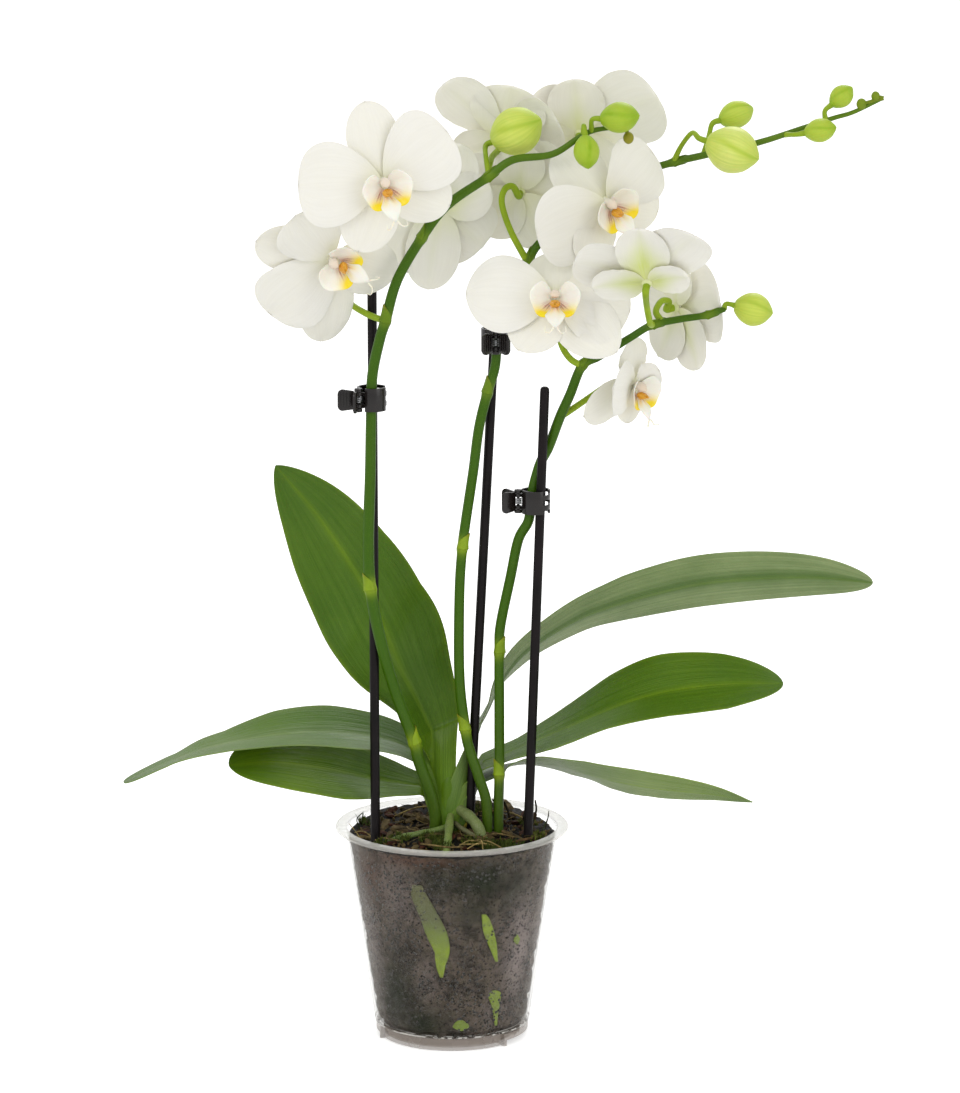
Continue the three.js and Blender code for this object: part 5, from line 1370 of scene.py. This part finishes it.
def middleLobe():
    form = lip["middle"]
    t = np.linspace(0, 1, lip["rows"] + 1)[:, None]
    v = acrossBlade(lip["columns"])
    centre, ahead = evenly(curveThrough(form["spine"]), t[:, 0])
    side = unit(np.cross(ahead, up))
    normal = np.cross(side, ahead)
    normal = normal * np.sign(normal[:, 2:3] + 1e-6)
    rounded = np.sqrt(np.clip(1 - ((t - 0.72) / 0.28).clip(0) ** 2, 0.004, 1))
    half = alongList(form["halves"], t) * rounded
    offset = form["cup"] * half * v ** 2 + 0.25 * np.sin(t * 9 + v * 3) * v ** 2
    grid = centre[:, None] + side[:, None] * (half * v)[..., None] + normal[:, None] * offset[..., None]
    shade = np.zeros((*offset.shape, 4))
    shade[..., 0] = 0.5 * bell(t - 0.3, 0.2) * bell(np.abs(v) - 0.5, 0.4)
    shade[..., 1] = 0.4 * bell(t, 0.2)
    shade[..., 3] = 0.8 * bell(t - 0.22, 0.14) * bell(np.abs(v) - 0.5, 0.3)
    return sheet(grid, np.full(offset.shape, lip["thick"] / 2), np.clip(shade, 0, 1))


# the horned callus where the lip meets the column
def callusPart():
    (cx, cy, cz), (rx, ry, rz) = lip["callus"]["at"], lip["callus"]["half"]
    rings, a = [], roundTurn(20)
    for b in (np.arange(13) + 0.5) * math.pi / 13 - math.pi / 2:
        x, y, z = math.cos(b) * np.cos(a), math.cos(b) * np.sin(a), math.sin(b)
        horn = 1 + 0.95 * max(z, 0) * np.abs(np.cos(1.5 * a + math.pi / 4))
        notch = 1 - 0.3 * np.clip(1 - np.abs(x) * 3, 0, 1) * max(z, 0)
        rings.append(np.stack([cx + rx * x, cy + ry * y * notch, cz + rz * z * horn], axis=-1))
    return loft(rings, (0.95, 0.6, 0, 0.35))


tendrils = []
for name, flower in flowers.items():
    size = flower.get("lipSize", 1.0)
    matrix = flowerMatrix(flower) @ np.diag([size, size, size, 1.0])
    parts = [lobePart(1), lobePart(-1), middleLobe(), callusPart()]
    blade = formed(f"lipBlade_{name}", [moved(piece, matrix) for piece in parts], lipLook)
    place(blade, plantBody, "lip", f"lip_{name}")
    for mirror in (1, -1):
        line = np.array([(x * mirror, y, z, 1) for x, y, z in lip["tendril"]]) @ matrix.T
        tendrils.append(strandThrough(line[:, :3], lip["tendrilRadii"], (0.12, 0, 0, 0), ends=0.8))
place(sweep("lipTendrils", tendrils, 8, lipLook), plantBody, "lip")
print("lips made")


# each bud: its centre, where its tip points, length and width, its stalk's start and way, shares of tint
buds = {
    "left_1": {
        "at": (33, -13.5, 472), "tip": (0.86, -0.25, 0.44), "size": (28, 24),
        "from": (19, -26, 451), "via": [(17.5, -20, 459)], "green": 0.12, "pale": 0.3},
    "left_2": {
        "at": (67.5, -34.5, 464), "tip": (0.1, -0.25, -0.96), "size": (17, 13),
        "from": (66, -26, 472), "via": [(66, -29, 476)], "green": 0.7, "pale": 0},
    "left_3": {
        "at": (84, -32, 481), "tip": (0.97, -0.2, 0.1), "size": (20, 15.5),
        "from": (70, -26, 473.5), "green": 0.7, "pale": 0},
    "middle_1": {
        "at": (141, -15, 462.5), "tip": (0.92, -0.2, -0.3), "size": (28, 23.5),
        "from": (112, 5.2, 453.7), "via": [(116, 0, 463), (121, -6, 470)], "green": 0, "pale": 0.7},
    "middle_2": {
        "at": (144, 13, 477), "tip": (0.9, 0.3, 0.3), "size": (19, 14),
        "from": (127, 3, 457.5), "via": [(130, 8, 467)], "green": 0.35, "pale": 0.1},
    "middle_3": {
        "at": (185, -11, 472), "tip": (0.95, -0.2, 0.2), "size": (16.5, 12),
        "from": (168, -1.2, 468.5), "green": 0.5, "pale": 0},
    "middle_4": {
        "at": (196, -2, 488), "tip": (0.75, 0, 0.66), "size": (14, 11),
        "from": (188, -2, 476), "green": 0.6, "pale": 0},
    "right_1": {
        "at": (152, -19, 382.5), "tip": (0.97, 0, -0.2), "size": (20, 17),
        "from": (137, -21, 383), "green": 0.15, "pale": 0.1},
}
budForm = {
    "profile": [(0.02, -0.5), (0.2, -0.46), (0.43, -0.24), (0.5, 0.02), (0.38, 0.28), (0.14, 0.45),
                (0.01, 0.5)],
    "rows": 34, "sides": 48, "seam": 0.06, "seamWidth": 0.16,
}


def buildBud(name, bud):
    length, width = bud["size"]
    line = evenProfile(budForm["profile"], budForm["rows"])
    a = roundTurn(budForm["sides"])
    rings, tints = [], []
    for r, z in line:
        twisted = a - 0.5 * z
        offSeams = [np.abs((twisted - seam + math.pi) % (2 * math.pi) - math.pi) for seam in roundTurn(3)]
        seam = bell(np.min(offSeams, axis=0), budForm["seamWidth"]) * min(1, (z + 0.5) * 3)
        radius = abs(r) * width * (1 - budForm["seam"] * seam + 0.015 * np.cos(3 * twisted))
        rings.append(np.stack([radius * np.cos(a), radius * np.sin(a), np.full(len(a), z * length)], axis=-1))
        ring = np.zeros((len(a), 4))
        ends = 0.4 * bell(z - 0.5, 0.22) + 0.3 * bell(z + 0.5, 0.16)
        ring[:, 0] = np.clip(bud["green"] + 0.35 * seam + ends, 0, 1)
        ring[:, 1] = bud["pale"] * (1 - seam) * bell(z, 0.4)
        tints.append(ring)
    piece = {**loft(rings, untinted), "tint": np.concatenate([*tints, tints[0][:1], tints[-1][:1]])}
    turned = Vector((0, 0, 1)).rotation_difference(Vector(bud["tip"]).normalized()).to_matrix().to_4x4()
    return formed(f"budCase_{name}", [moved(piece, Matrix.Translation(bud["at"]) @ turned)], budLook)


for name, bud in buds.items():
    place(buildBud(name, bud), plantBody, "bud", f"bud_{name}")
print("buds made")


# each stem's line and radii, its joints, its smallest buds with radius and tint, the bracts' sides in degrees
spikes = {
    "left": {
        "points": [(-9, -8, 98), (-9, -8, 121), (-17, -12, 148), (-19, -13, 157), (-29, -18, 186),
            (-36, -23.4, 213), (-41, -24, 240), (-42, -22.4, 265), (-41, -20.6, 297), (-40.5, -18.8, 325),
            (-39.8, -17.8, 348), (-36, -20, 367), (-33, -22, 377), (-27, -24, 398), (-15, -25, 419),
            (-2, -26, 436), (18, -26, 450), (31, -26, 459), (51, -26, 462), (69, -26, 473), (87, -25, 475.5)],
        "radii": [3, 3.1, 3.1, 3.1, 3, 3, 3, 2.9, 2.8, 2.7, 2.7, 2.7, 2.7, 2.6, 2.5, 2.4, 2.2, 2, 1.7, 1.4,
            0.9],
        "joints": [(-19, -13, 157), (-41, -24, 240), (-33, -22, 377), (-15, -25, 419), (18, -26, 450)],
        "tips": [(88.4, -27.5, 470.2, 2.7, (1, 0.55, 0, 0))], "bracts": [20, 190, 200, 150, 100]},
    "middle": {
        "points": [(18, -10, 98), (18, -10, 123), (14, -10, 138), (9, -9, 153), (7, -8.3, 163), (4, -8, 190),
            (4, -8, 233), (5.4, -7.5, 257), (7, -7.5, 270), (11, -7, 297), (14, -7, 320), (18.3, -6.6, 338),
            (22.3, -6, 352), (23.3, -6, 370), (27, -5, 380), (32, -4, 390), (38.5, -2.8, 404), (44, -2, 413),
            (55, 1, 423), (70, 5, 436), (88, 7, 446), (112, 5.2, 453.7), (127, 3, 457.5), (155, 0, 464.5),
            (177, -2, 472), (192, -2, 477), (202, -2, 480), (217, -2, 487)],
        "radii": [2.7, 2.7, 2.7, 2.7, 2.7, 2.7, 2.6, 2.6, 2.6, 2.6, 2.6, 2.6, 2.5, 2.5, 2.4, 2.3, 2.2, 2.1, 2,
            2, 1.9, 1.9, 1.8, 1.6, 1.4, 1.2, 1.1, 0.8],
        "joints": [(7, -8.3, 163), (5.4, -7.5, 257), (18.3, -6.6, 338), (38.5, -2.8, 404), (112, 5.2, 453.7)],
        "tips": [(206, -2, 484, 2.6, (0.6, 0.1, 0, 0)), (213, -2, 488, 2.2, (0.6, 0.1, 0, 0))],
        "bracts": [200, -20, 190, 130, 110]},
    "right": {
        "points": [(24, -8, 98), (24, -8, 121), (24.4, -7.8, 139), (24.4, -7.6, 170), (24.4, -5.6, 203),
            (25, -5, 217), (30, -6, 242), (34, -8, 262), (39, -10.2, 272), (40.3, -10.4, 281),
            (41.4, -10.2, 289), (43.2, -8.9, 296), (45.4, -7.9, 302.5), (49.5, -8, 310.5), (55, -10.5, 326),
            (60, -13, 338), (66, -15, 353), (74, -17, 358), (82, -19, 363), (91, -21, 369), (101, -22, 375),
            (115, -22, 378), (128, -22, 380), (137.5, -21, 383)],
        "radii": [2.6, 2.6, 2.6, 2.6, 2.6, 2.6, 2.6, 2.6, 2.6, 2.6, 2.6, 2.6, 2.6, 2.6, 2.6, 2.5, 2.4, 2.2, 2,
            1.9, 1.9, 1.8, 1.7, 1.4],
        "joints": [(24.4, -7.8, 139), (24.4, -5.6, 203), (66, -15, 353), (101, -22, 375), (128, -22, 380)],
        "tips": [], "bracts": [200, -20, 150, 110, 100]},
}
# joints below the old height have fresher bracts than those among the flowers
stemForm = {"swell": 0.4, "swellLength": 1.7, "sides": 22, "rows": 420, "oldHeight": 300}
bract = {"length": 9, "rows": 14, "columns": 15, "half": 0.22, "clear": 0.16, "reach": 128, "step": 1.6}


def nearest(line, point):
    return int(np.argmin(np.linalg.norm(line - np.array(point, float), axis=1)))


# the stem swells a little at every joint and is fresher there
def stemStrand(spike):
    line, _ = evenly(curveThrough(spike["points"]), np.linspace(0, 1, stemForm["rows"]))
    length = lengthAlong(line)
    radii = np.interp(length, [length[nearest(line, point)] for point in spike["points"]], spike["radii"])
    young = np.clip((length - 300) / 200, 0, 1) * 0.25
    for joint in spike["joints"]:
        off = length - length[nearest(line, joint)]
        radii = radii + stemForm["swell"] * bell(off, stemForm["swellLength"])
        fresh = 0.85 if joint[2] < stemForm["oldHeight"] else 0.3
        young = np.maximum(young, fresh * bell(off - 1.5, 4.2))
    tint = np.zeros((len(line), 4))
    tint[:, 0] = young
    tint[:, 2] = 0.15 * bell(length, 60)
    return {"points": line, "radii": radii, "tint": tint}


# a bract clasps the stem above a joint and ends in a point
def bractPart(strand, joint, side):
    line = strand["points"]
    length = lengthAlong(line)
    start = length[nearest(line, joint)]
    u, v = np.linspace(0, 1, bract["rows"]), np.linspace(-1, 1, bract["columns"])
    grid = np.zeros((len(u), len(v), 3))
    for i, share in enumerate(u):
        distance = start + share * bract["length"]
        before, here, after = (np.array([np.interp(distance + step, length, line[:, k]) for k in range(3)])
                               for step in (-bract["step"], 0, bract["step"]))
        ahead = unit(after - before)
        first = unit(np.cross(ahead, np.cross(heading(side), ahead)))
        second = np.cross(ahead, first)
        angle = v * math.radians(bract["reach"]) * (1 - share ** 2.4)
        spread = np.interp(distance, length, strand["radii"]) + bract["clear"] + 0.25 * share ** 2
        grid[i] = here + spread * (first * np.cos(angle)[:, None] + second * np.sin(angle)[:, None])
    shade = np.zeros((len(u), len(v), 4))
    shade[..., 0] = 0.8 if joint[2] < stemForm["oldHeight"] else 0.35
    shade[..., 1] = 0.5 * bell(1 - u[:, None], 0.2)
    return sheet(grid, np.full(shade.shape[:2], bract["half"]), shade)


def nubPart(x, y, z, radius, shade):
    rings = []
    for b in math.pi * (np.arange(10) + 0.5) / 10 - math.pi / 2:
        rings.append([(x + radius * math.cos(b) * math.cos(a), y + radius * math.cos(b) * math.sin(a),
                       z + radius * 1.15 * math.sin(b)) for a in roundTurn(14)])
    return loft(rings, shade)


stalks = {
    "flower": {"radii": [1.75, 1.6, 1.6, 1.9], "tint": (1, 0, 0, 0), "steps": 9, "ends": 1},
    "bud": {"radii": [1.5, 1.2, 1.25, 1.7], "tint": (0.9, 0, 0, 0), "steps": 9, "ends": 1},
    "tip": {"radii": [1.1, 0.9], "tint": (0.5, 0.2, 0, 0), "steps": 6, "ends": 1},
}


def stalk(kind, points):
    form = stalks[kind]
    return strandThrough(points, form["radii"], form["tint"], form["steps"], form["ends"])


# a flower's or a bud's name starts with its spike's
def buildSpike(name, spike):
    strands = [stemStrand(spike)]
    for title, flower in flowers.items():
        if title.startswith(name):
            matrix = flowerMatrix(flower)
            behind = [matrix[:3, 3] - matrix[:3, 2] * (tepal["cup"] + distance) for distance in (4, -0.4)]
            strands.append(stalk("flower", [*flower["via"], *behind]))
    for title, bud in buds.items():
        if title.startswith(name):
            tip = unit(np.array(bud["tip"], float))
            behind = [np.array(bud["at"]) - tip * (bud["size"][0] / 2 + distance) for distance in (4, -1.2)]
            strands.append(stalk("bud", [bud["from"], *bud.get("via", []), *behind]))
    strands += [stalk("tip", [spike["points"][-1], tip[:3]]) for tip in spike["tips"]]
    stems = sweep(f"stems_{name}", strands, stemForm["sides"], stemLook)
    parts = [bractPart(strands[0], joint, side) for joint, side in zip(spike["joints"], spike["bracts"])]
    parts += [nubPart(*tip) for tip in spike["tips"]]
    return joined(f"flowerSpike_{name}", [stems, formed(f"bracts_{name}", parts, stemLook)])


for name, spike in spikes.items():
    place(buildSpike(name, spike), plantBody, "stem", f"spike_{name}")
print("spikes made")


sticks = {
    "left": ((-38.9, -25.6, 82), (-40, -8.6, 404)),
    "middle": ((6, -5.5, 50), (22, 0, 369)),
    "right": ((37.3, -21.5, 60), (47.3, -12.5, 342)),
}
stickForm = {
    "radius": 2.4, "shares": [0, 0.0015, 0.004, 0.01, 0.3, 0.6, 0.99, 0.996, 0.9985, 1],
    "rounding": [0.5, 0.75, 0.94, 1, 1, 1, 1, 0.94, 0.75, 0.45],
}
for name, (foot, top) in sticks.items():
    line = [mix(np.array(foot, float), np.array(top, float), share) for share in stickForm["shares"]]
    strand = {"points": line, "radii": [stickForm["radius"] * share for share in stickForm["rounding"]]}
    place(sweep(f"supportStick_{name}", [strand], 32, stickLook), plantBody, "stick_plastic", f"stick_{name}")
print("sticks made")


# each clip's own frame has the claws' ring round the origin and the hinge at -X
clips = {
    "left": {"at": (-40.1, -15, 336.5), "turn": 40},
    "middle": {"at": (22.5, -3.1, 364.5), "turn": 90},
    "right": {"at": (42.7, -12, 283), "turn": 0},
}
clip = {
    "inner": 6.4, "outer": 7.5, "height": 12, "hinge": 8.8, "prongEnd": -14, "prongStart": 58, "ringEnd": 172,
    "fixedProngs": [(-6, -4.2), (-0.9, 0.9), (4.2, 6)], "movingProngs": [(-3.7, -1.4), (1.4, 3.7)],
    "padAngle": 40, "padLength": 10.5, "padHeight": 11, "padThick": 1.3, "ridges": 4, "ridgeHeight": 0.35,
    "knuckle": 2, "bore": 1.15, "pin": 0.75, "fixedKnuckle": (4.2, 6), "movingKnuckle": (2.3, 3.9),
    "wire": 0.33, "coil": 1.52, "coilHeight": 3, "turns": 3, "coilSteps": 24, "edge": 0.16,
    "corner": 2.6, "padStart": 2.2, "ridgeStart": 4.2, "ridgeStep": 1.5, "ridgeWidth": 0.6, "smoothAngle": 38,
}


def padOutline():
    length, half, corner = clip["padLength"], clip["padHeight"] / 2, clip["corner"]
    outline = [(clip["padStart"], -half + 0.8)]
    for y, start in ((-half + corner, -90), (half - corner, 0)):
        for degrees in np.linspace(start, start + 90, 9):
            x, out, _ = corner * heading(degrees)
            outline.append((length - corner + x, y + out))
    return outline + [(clip["padStart"], half - 0.8)]


def padParts():
    thick = clip["padThick"] / 2
    parts = [prism(padOutline(), (-thick, thick))]
    for k in range(clip["ridges"]):
        x, half = clip["ridgeStart"] + k * clip["ridgeStep"], clip["padHeight"] / 2 - 1.4
        bar = [(x, -half), (x + clip["ridgeWidth"], -half), (x + clip["ridgeWidth"], half), (x, half)]
        parts.append(prism(bar, (-thick - clip["ridgeHeight"], -thick + 0.2)))
    swing = turnAbout(180 - clip["padAngle"], (-clip["hinge"], 0, 0)) @ Matrix.Rotation(math.pi / 2, 4, "X")
    return [moved(piece, swing) for piece in parts]


def collar(inner, outer, levels):
    made = revolveClosed([(inner, levels[0]), (outer, levels[0]), (outer, levels[1]), (inner, levels[1])], 36)
    return moved(made, Matrix.Translation((-clip["hinge"], 0, 0)))


# the plate stops short of the hinge, where the knuckles and the spring sit
def jawParts(prongs, knuckles):
    half, end = clip["height"] / 2, clip["ringEnd"]
    bands = [((clip["prongStart"], end - 14), (-half, half), 30)]
    bands += [((clip["prongEnd"], clip["prongStart"] + 2), levels, 22) for levels in prongs]
    bands += [((end - 16, end), levels, 6) for levels in knuckles]
    parts = [ringSector(clip["inner"], clip["outer"], *band) for band in bands]
    return parts[:1 + len(prongs)] + padParts() + parts[1 + len(prongs):]


def buildJaw(name, entry, moving):
    low, high = clip["movingKnuckle"] if moving else clip["fixedKnuckle"]
    knuckles = [(low, high), (-high, -low)]
    inner = clip["bore"] if moving else clip["pin"] - 0.05
    parts = jawParts(clip["movingProngs"] if moving else clip["fixedProngs"], knuckles)
    parts += [collar(inner, clip["knuckle"], levels) for levels in knuckles]
    if moving:
        parts = [{**piece, "points": piece["points"] * np.array([1, -1, 1])} for piece in parts]
    else:
        half = clip["height"] / 2
        pin = revolve([(0.3, -half - 0.15), (clip["pin"], -half), (clip["pin"], half), (0.3, half + 0.15)], 28)
        parts.append(moved(pin, Matrix.Translation((-clip["hinge"], 0, 0))))
    matrix = turnAbout(entry["turn"], entry["at"])
    title = f"clipJaw_{name}_{'moving' if moving else 'fixed'}"
    made = formed(title, [moved(piece, matrix) for piece in parts], clipLook, smooth=False)
    bevel = made.modifiers.new("edge", "BEVEL")
    bevel.width, bevel.segments, bevel.limit_method = clip["edge"] * mm, 3, "ANGLE"
    bevel.angle_limit = math.radians(50)
    return smoothed(baked(made), clip["smoothAngle"])


def springStrand(entry):
    matrix = turnAbout(entry["turn"], entry["at"])
    steps = clip["coilSteps"]
    count = clip["turns"] * steps
    points = []
    for k in range(count + 1):
        a = 2 * math.pi * k / steps
        spot = (-clip["hinge"] + clip["coil"] * math.cos(a), clip["coil"] * math.sin(a),
                clip["coilHeight"] * (k / count - 0.5))
        points.append(tuple(matrix @ Vector(spot)))
    return {"points": points, "radii": [clip["wire"]] * len(points)}


for name, entry in clips.items():
    place(buildJaw(name, entry, False), plantBody, "clip_plastic", f"clip_{name}_fixed_jaw")
    place(buildJaw(name, entry, True), f"jaw_{name}", "clip_plastic", f"clip_{name}_moving_jaw")
    spring = sweep(f"coilSpring_{name}", [springStrand(entry)], 10, springLook)
    place(spring, plantBody, "spring_steel", f"clip_{name}_spring")
print("clips made")


studio = {
    "floorHalf": 30, "skyStrength": 0.84,
    # each lamp: its place, what it points at, size and power
    "lamps": {"key": ((-1.3, -1.7, 1.9), (0.02, 0, 0.3), 1.1, 11),
              "fill": ((1.9, -1.5, 0.9), (0.02, 0, 0.25), 1.6, 7),
              "back": ((0.5, 1.9, 1.7), (0.02, 0, 0.35), 1.2, 12)},
    "lens": 177.35, "sensor": 36, "farthest": 100, "camera": (0.0145, -2.69479, 0.80526), "pitch": 78.5,
}
floorLook, tree, shader = look("floorPaper", {"Roughness": 0.9, "Emission Strength": 0.5})
pale = use(tree, mottle, {"Color": tone(244, 244, 243), "Other": tone(248, 248, 247), "Scale": 3.0,
                          "Amount": 1.0})
feed(tree, shader.inputs["Base Color"], pale.outputs[0])
seen = node(tree, "ShaderNodeLightPath")
feed(tree, shader.inputs["Emission Color"], seen.outputs["Is Camera Ray"])
floorMesh = bpy.data.meshes.new("floor")
half = studio["floorHalf"]
corners = [(-half, -half, 0), (half, -half, 0), (half, half, 0), (-half, half, 0)]
floorMesh.from_pydata(corners, [], [[0, 1, 2, 3]])
floor = objectFrom("floor", floorMesh, floorLook)

sky = bpy.data.worlds.new("studio")
sky.use_nodes = True
backdrop = next(n for n in sky.node_tree.nodes if n.type == "BACKGROUND")
backdrop.inputs["Color"].default_value = (1, 1, 1, 1)
backdrop.inputs["Strength"].default_value = studio["skyStrength"]
scene.world = sky

for name, (position, target, size, power) in studio["lamps"].items():
    light = bpy.data.lights.new(name, "AREA")
    light.shape, light.size, light.energy = "DISK", size, power
    made = objectFrom(name, light)
    made.location = position
    made.rotation_euler = (Vector(target) - Vector(position)).to_track_quat("-Z", "Y").to_euler()

lens = bpy.data.cameras.new("camera")
lens.lens, lens.sensor_fit, lens.sensor_height = studio["lens"], "VERTICAL", studio["sensor"]
lens.clip_end = studio["farthest"]
camera = objectFrom("camera", lens)
camera.location = studio["camera"]
camera.rotation_euler = (math.radians(studio["pitch"]), 0, 0)
scene.camera = camera
scene.view_settings.view_transform = "Standard"
print("stage made")
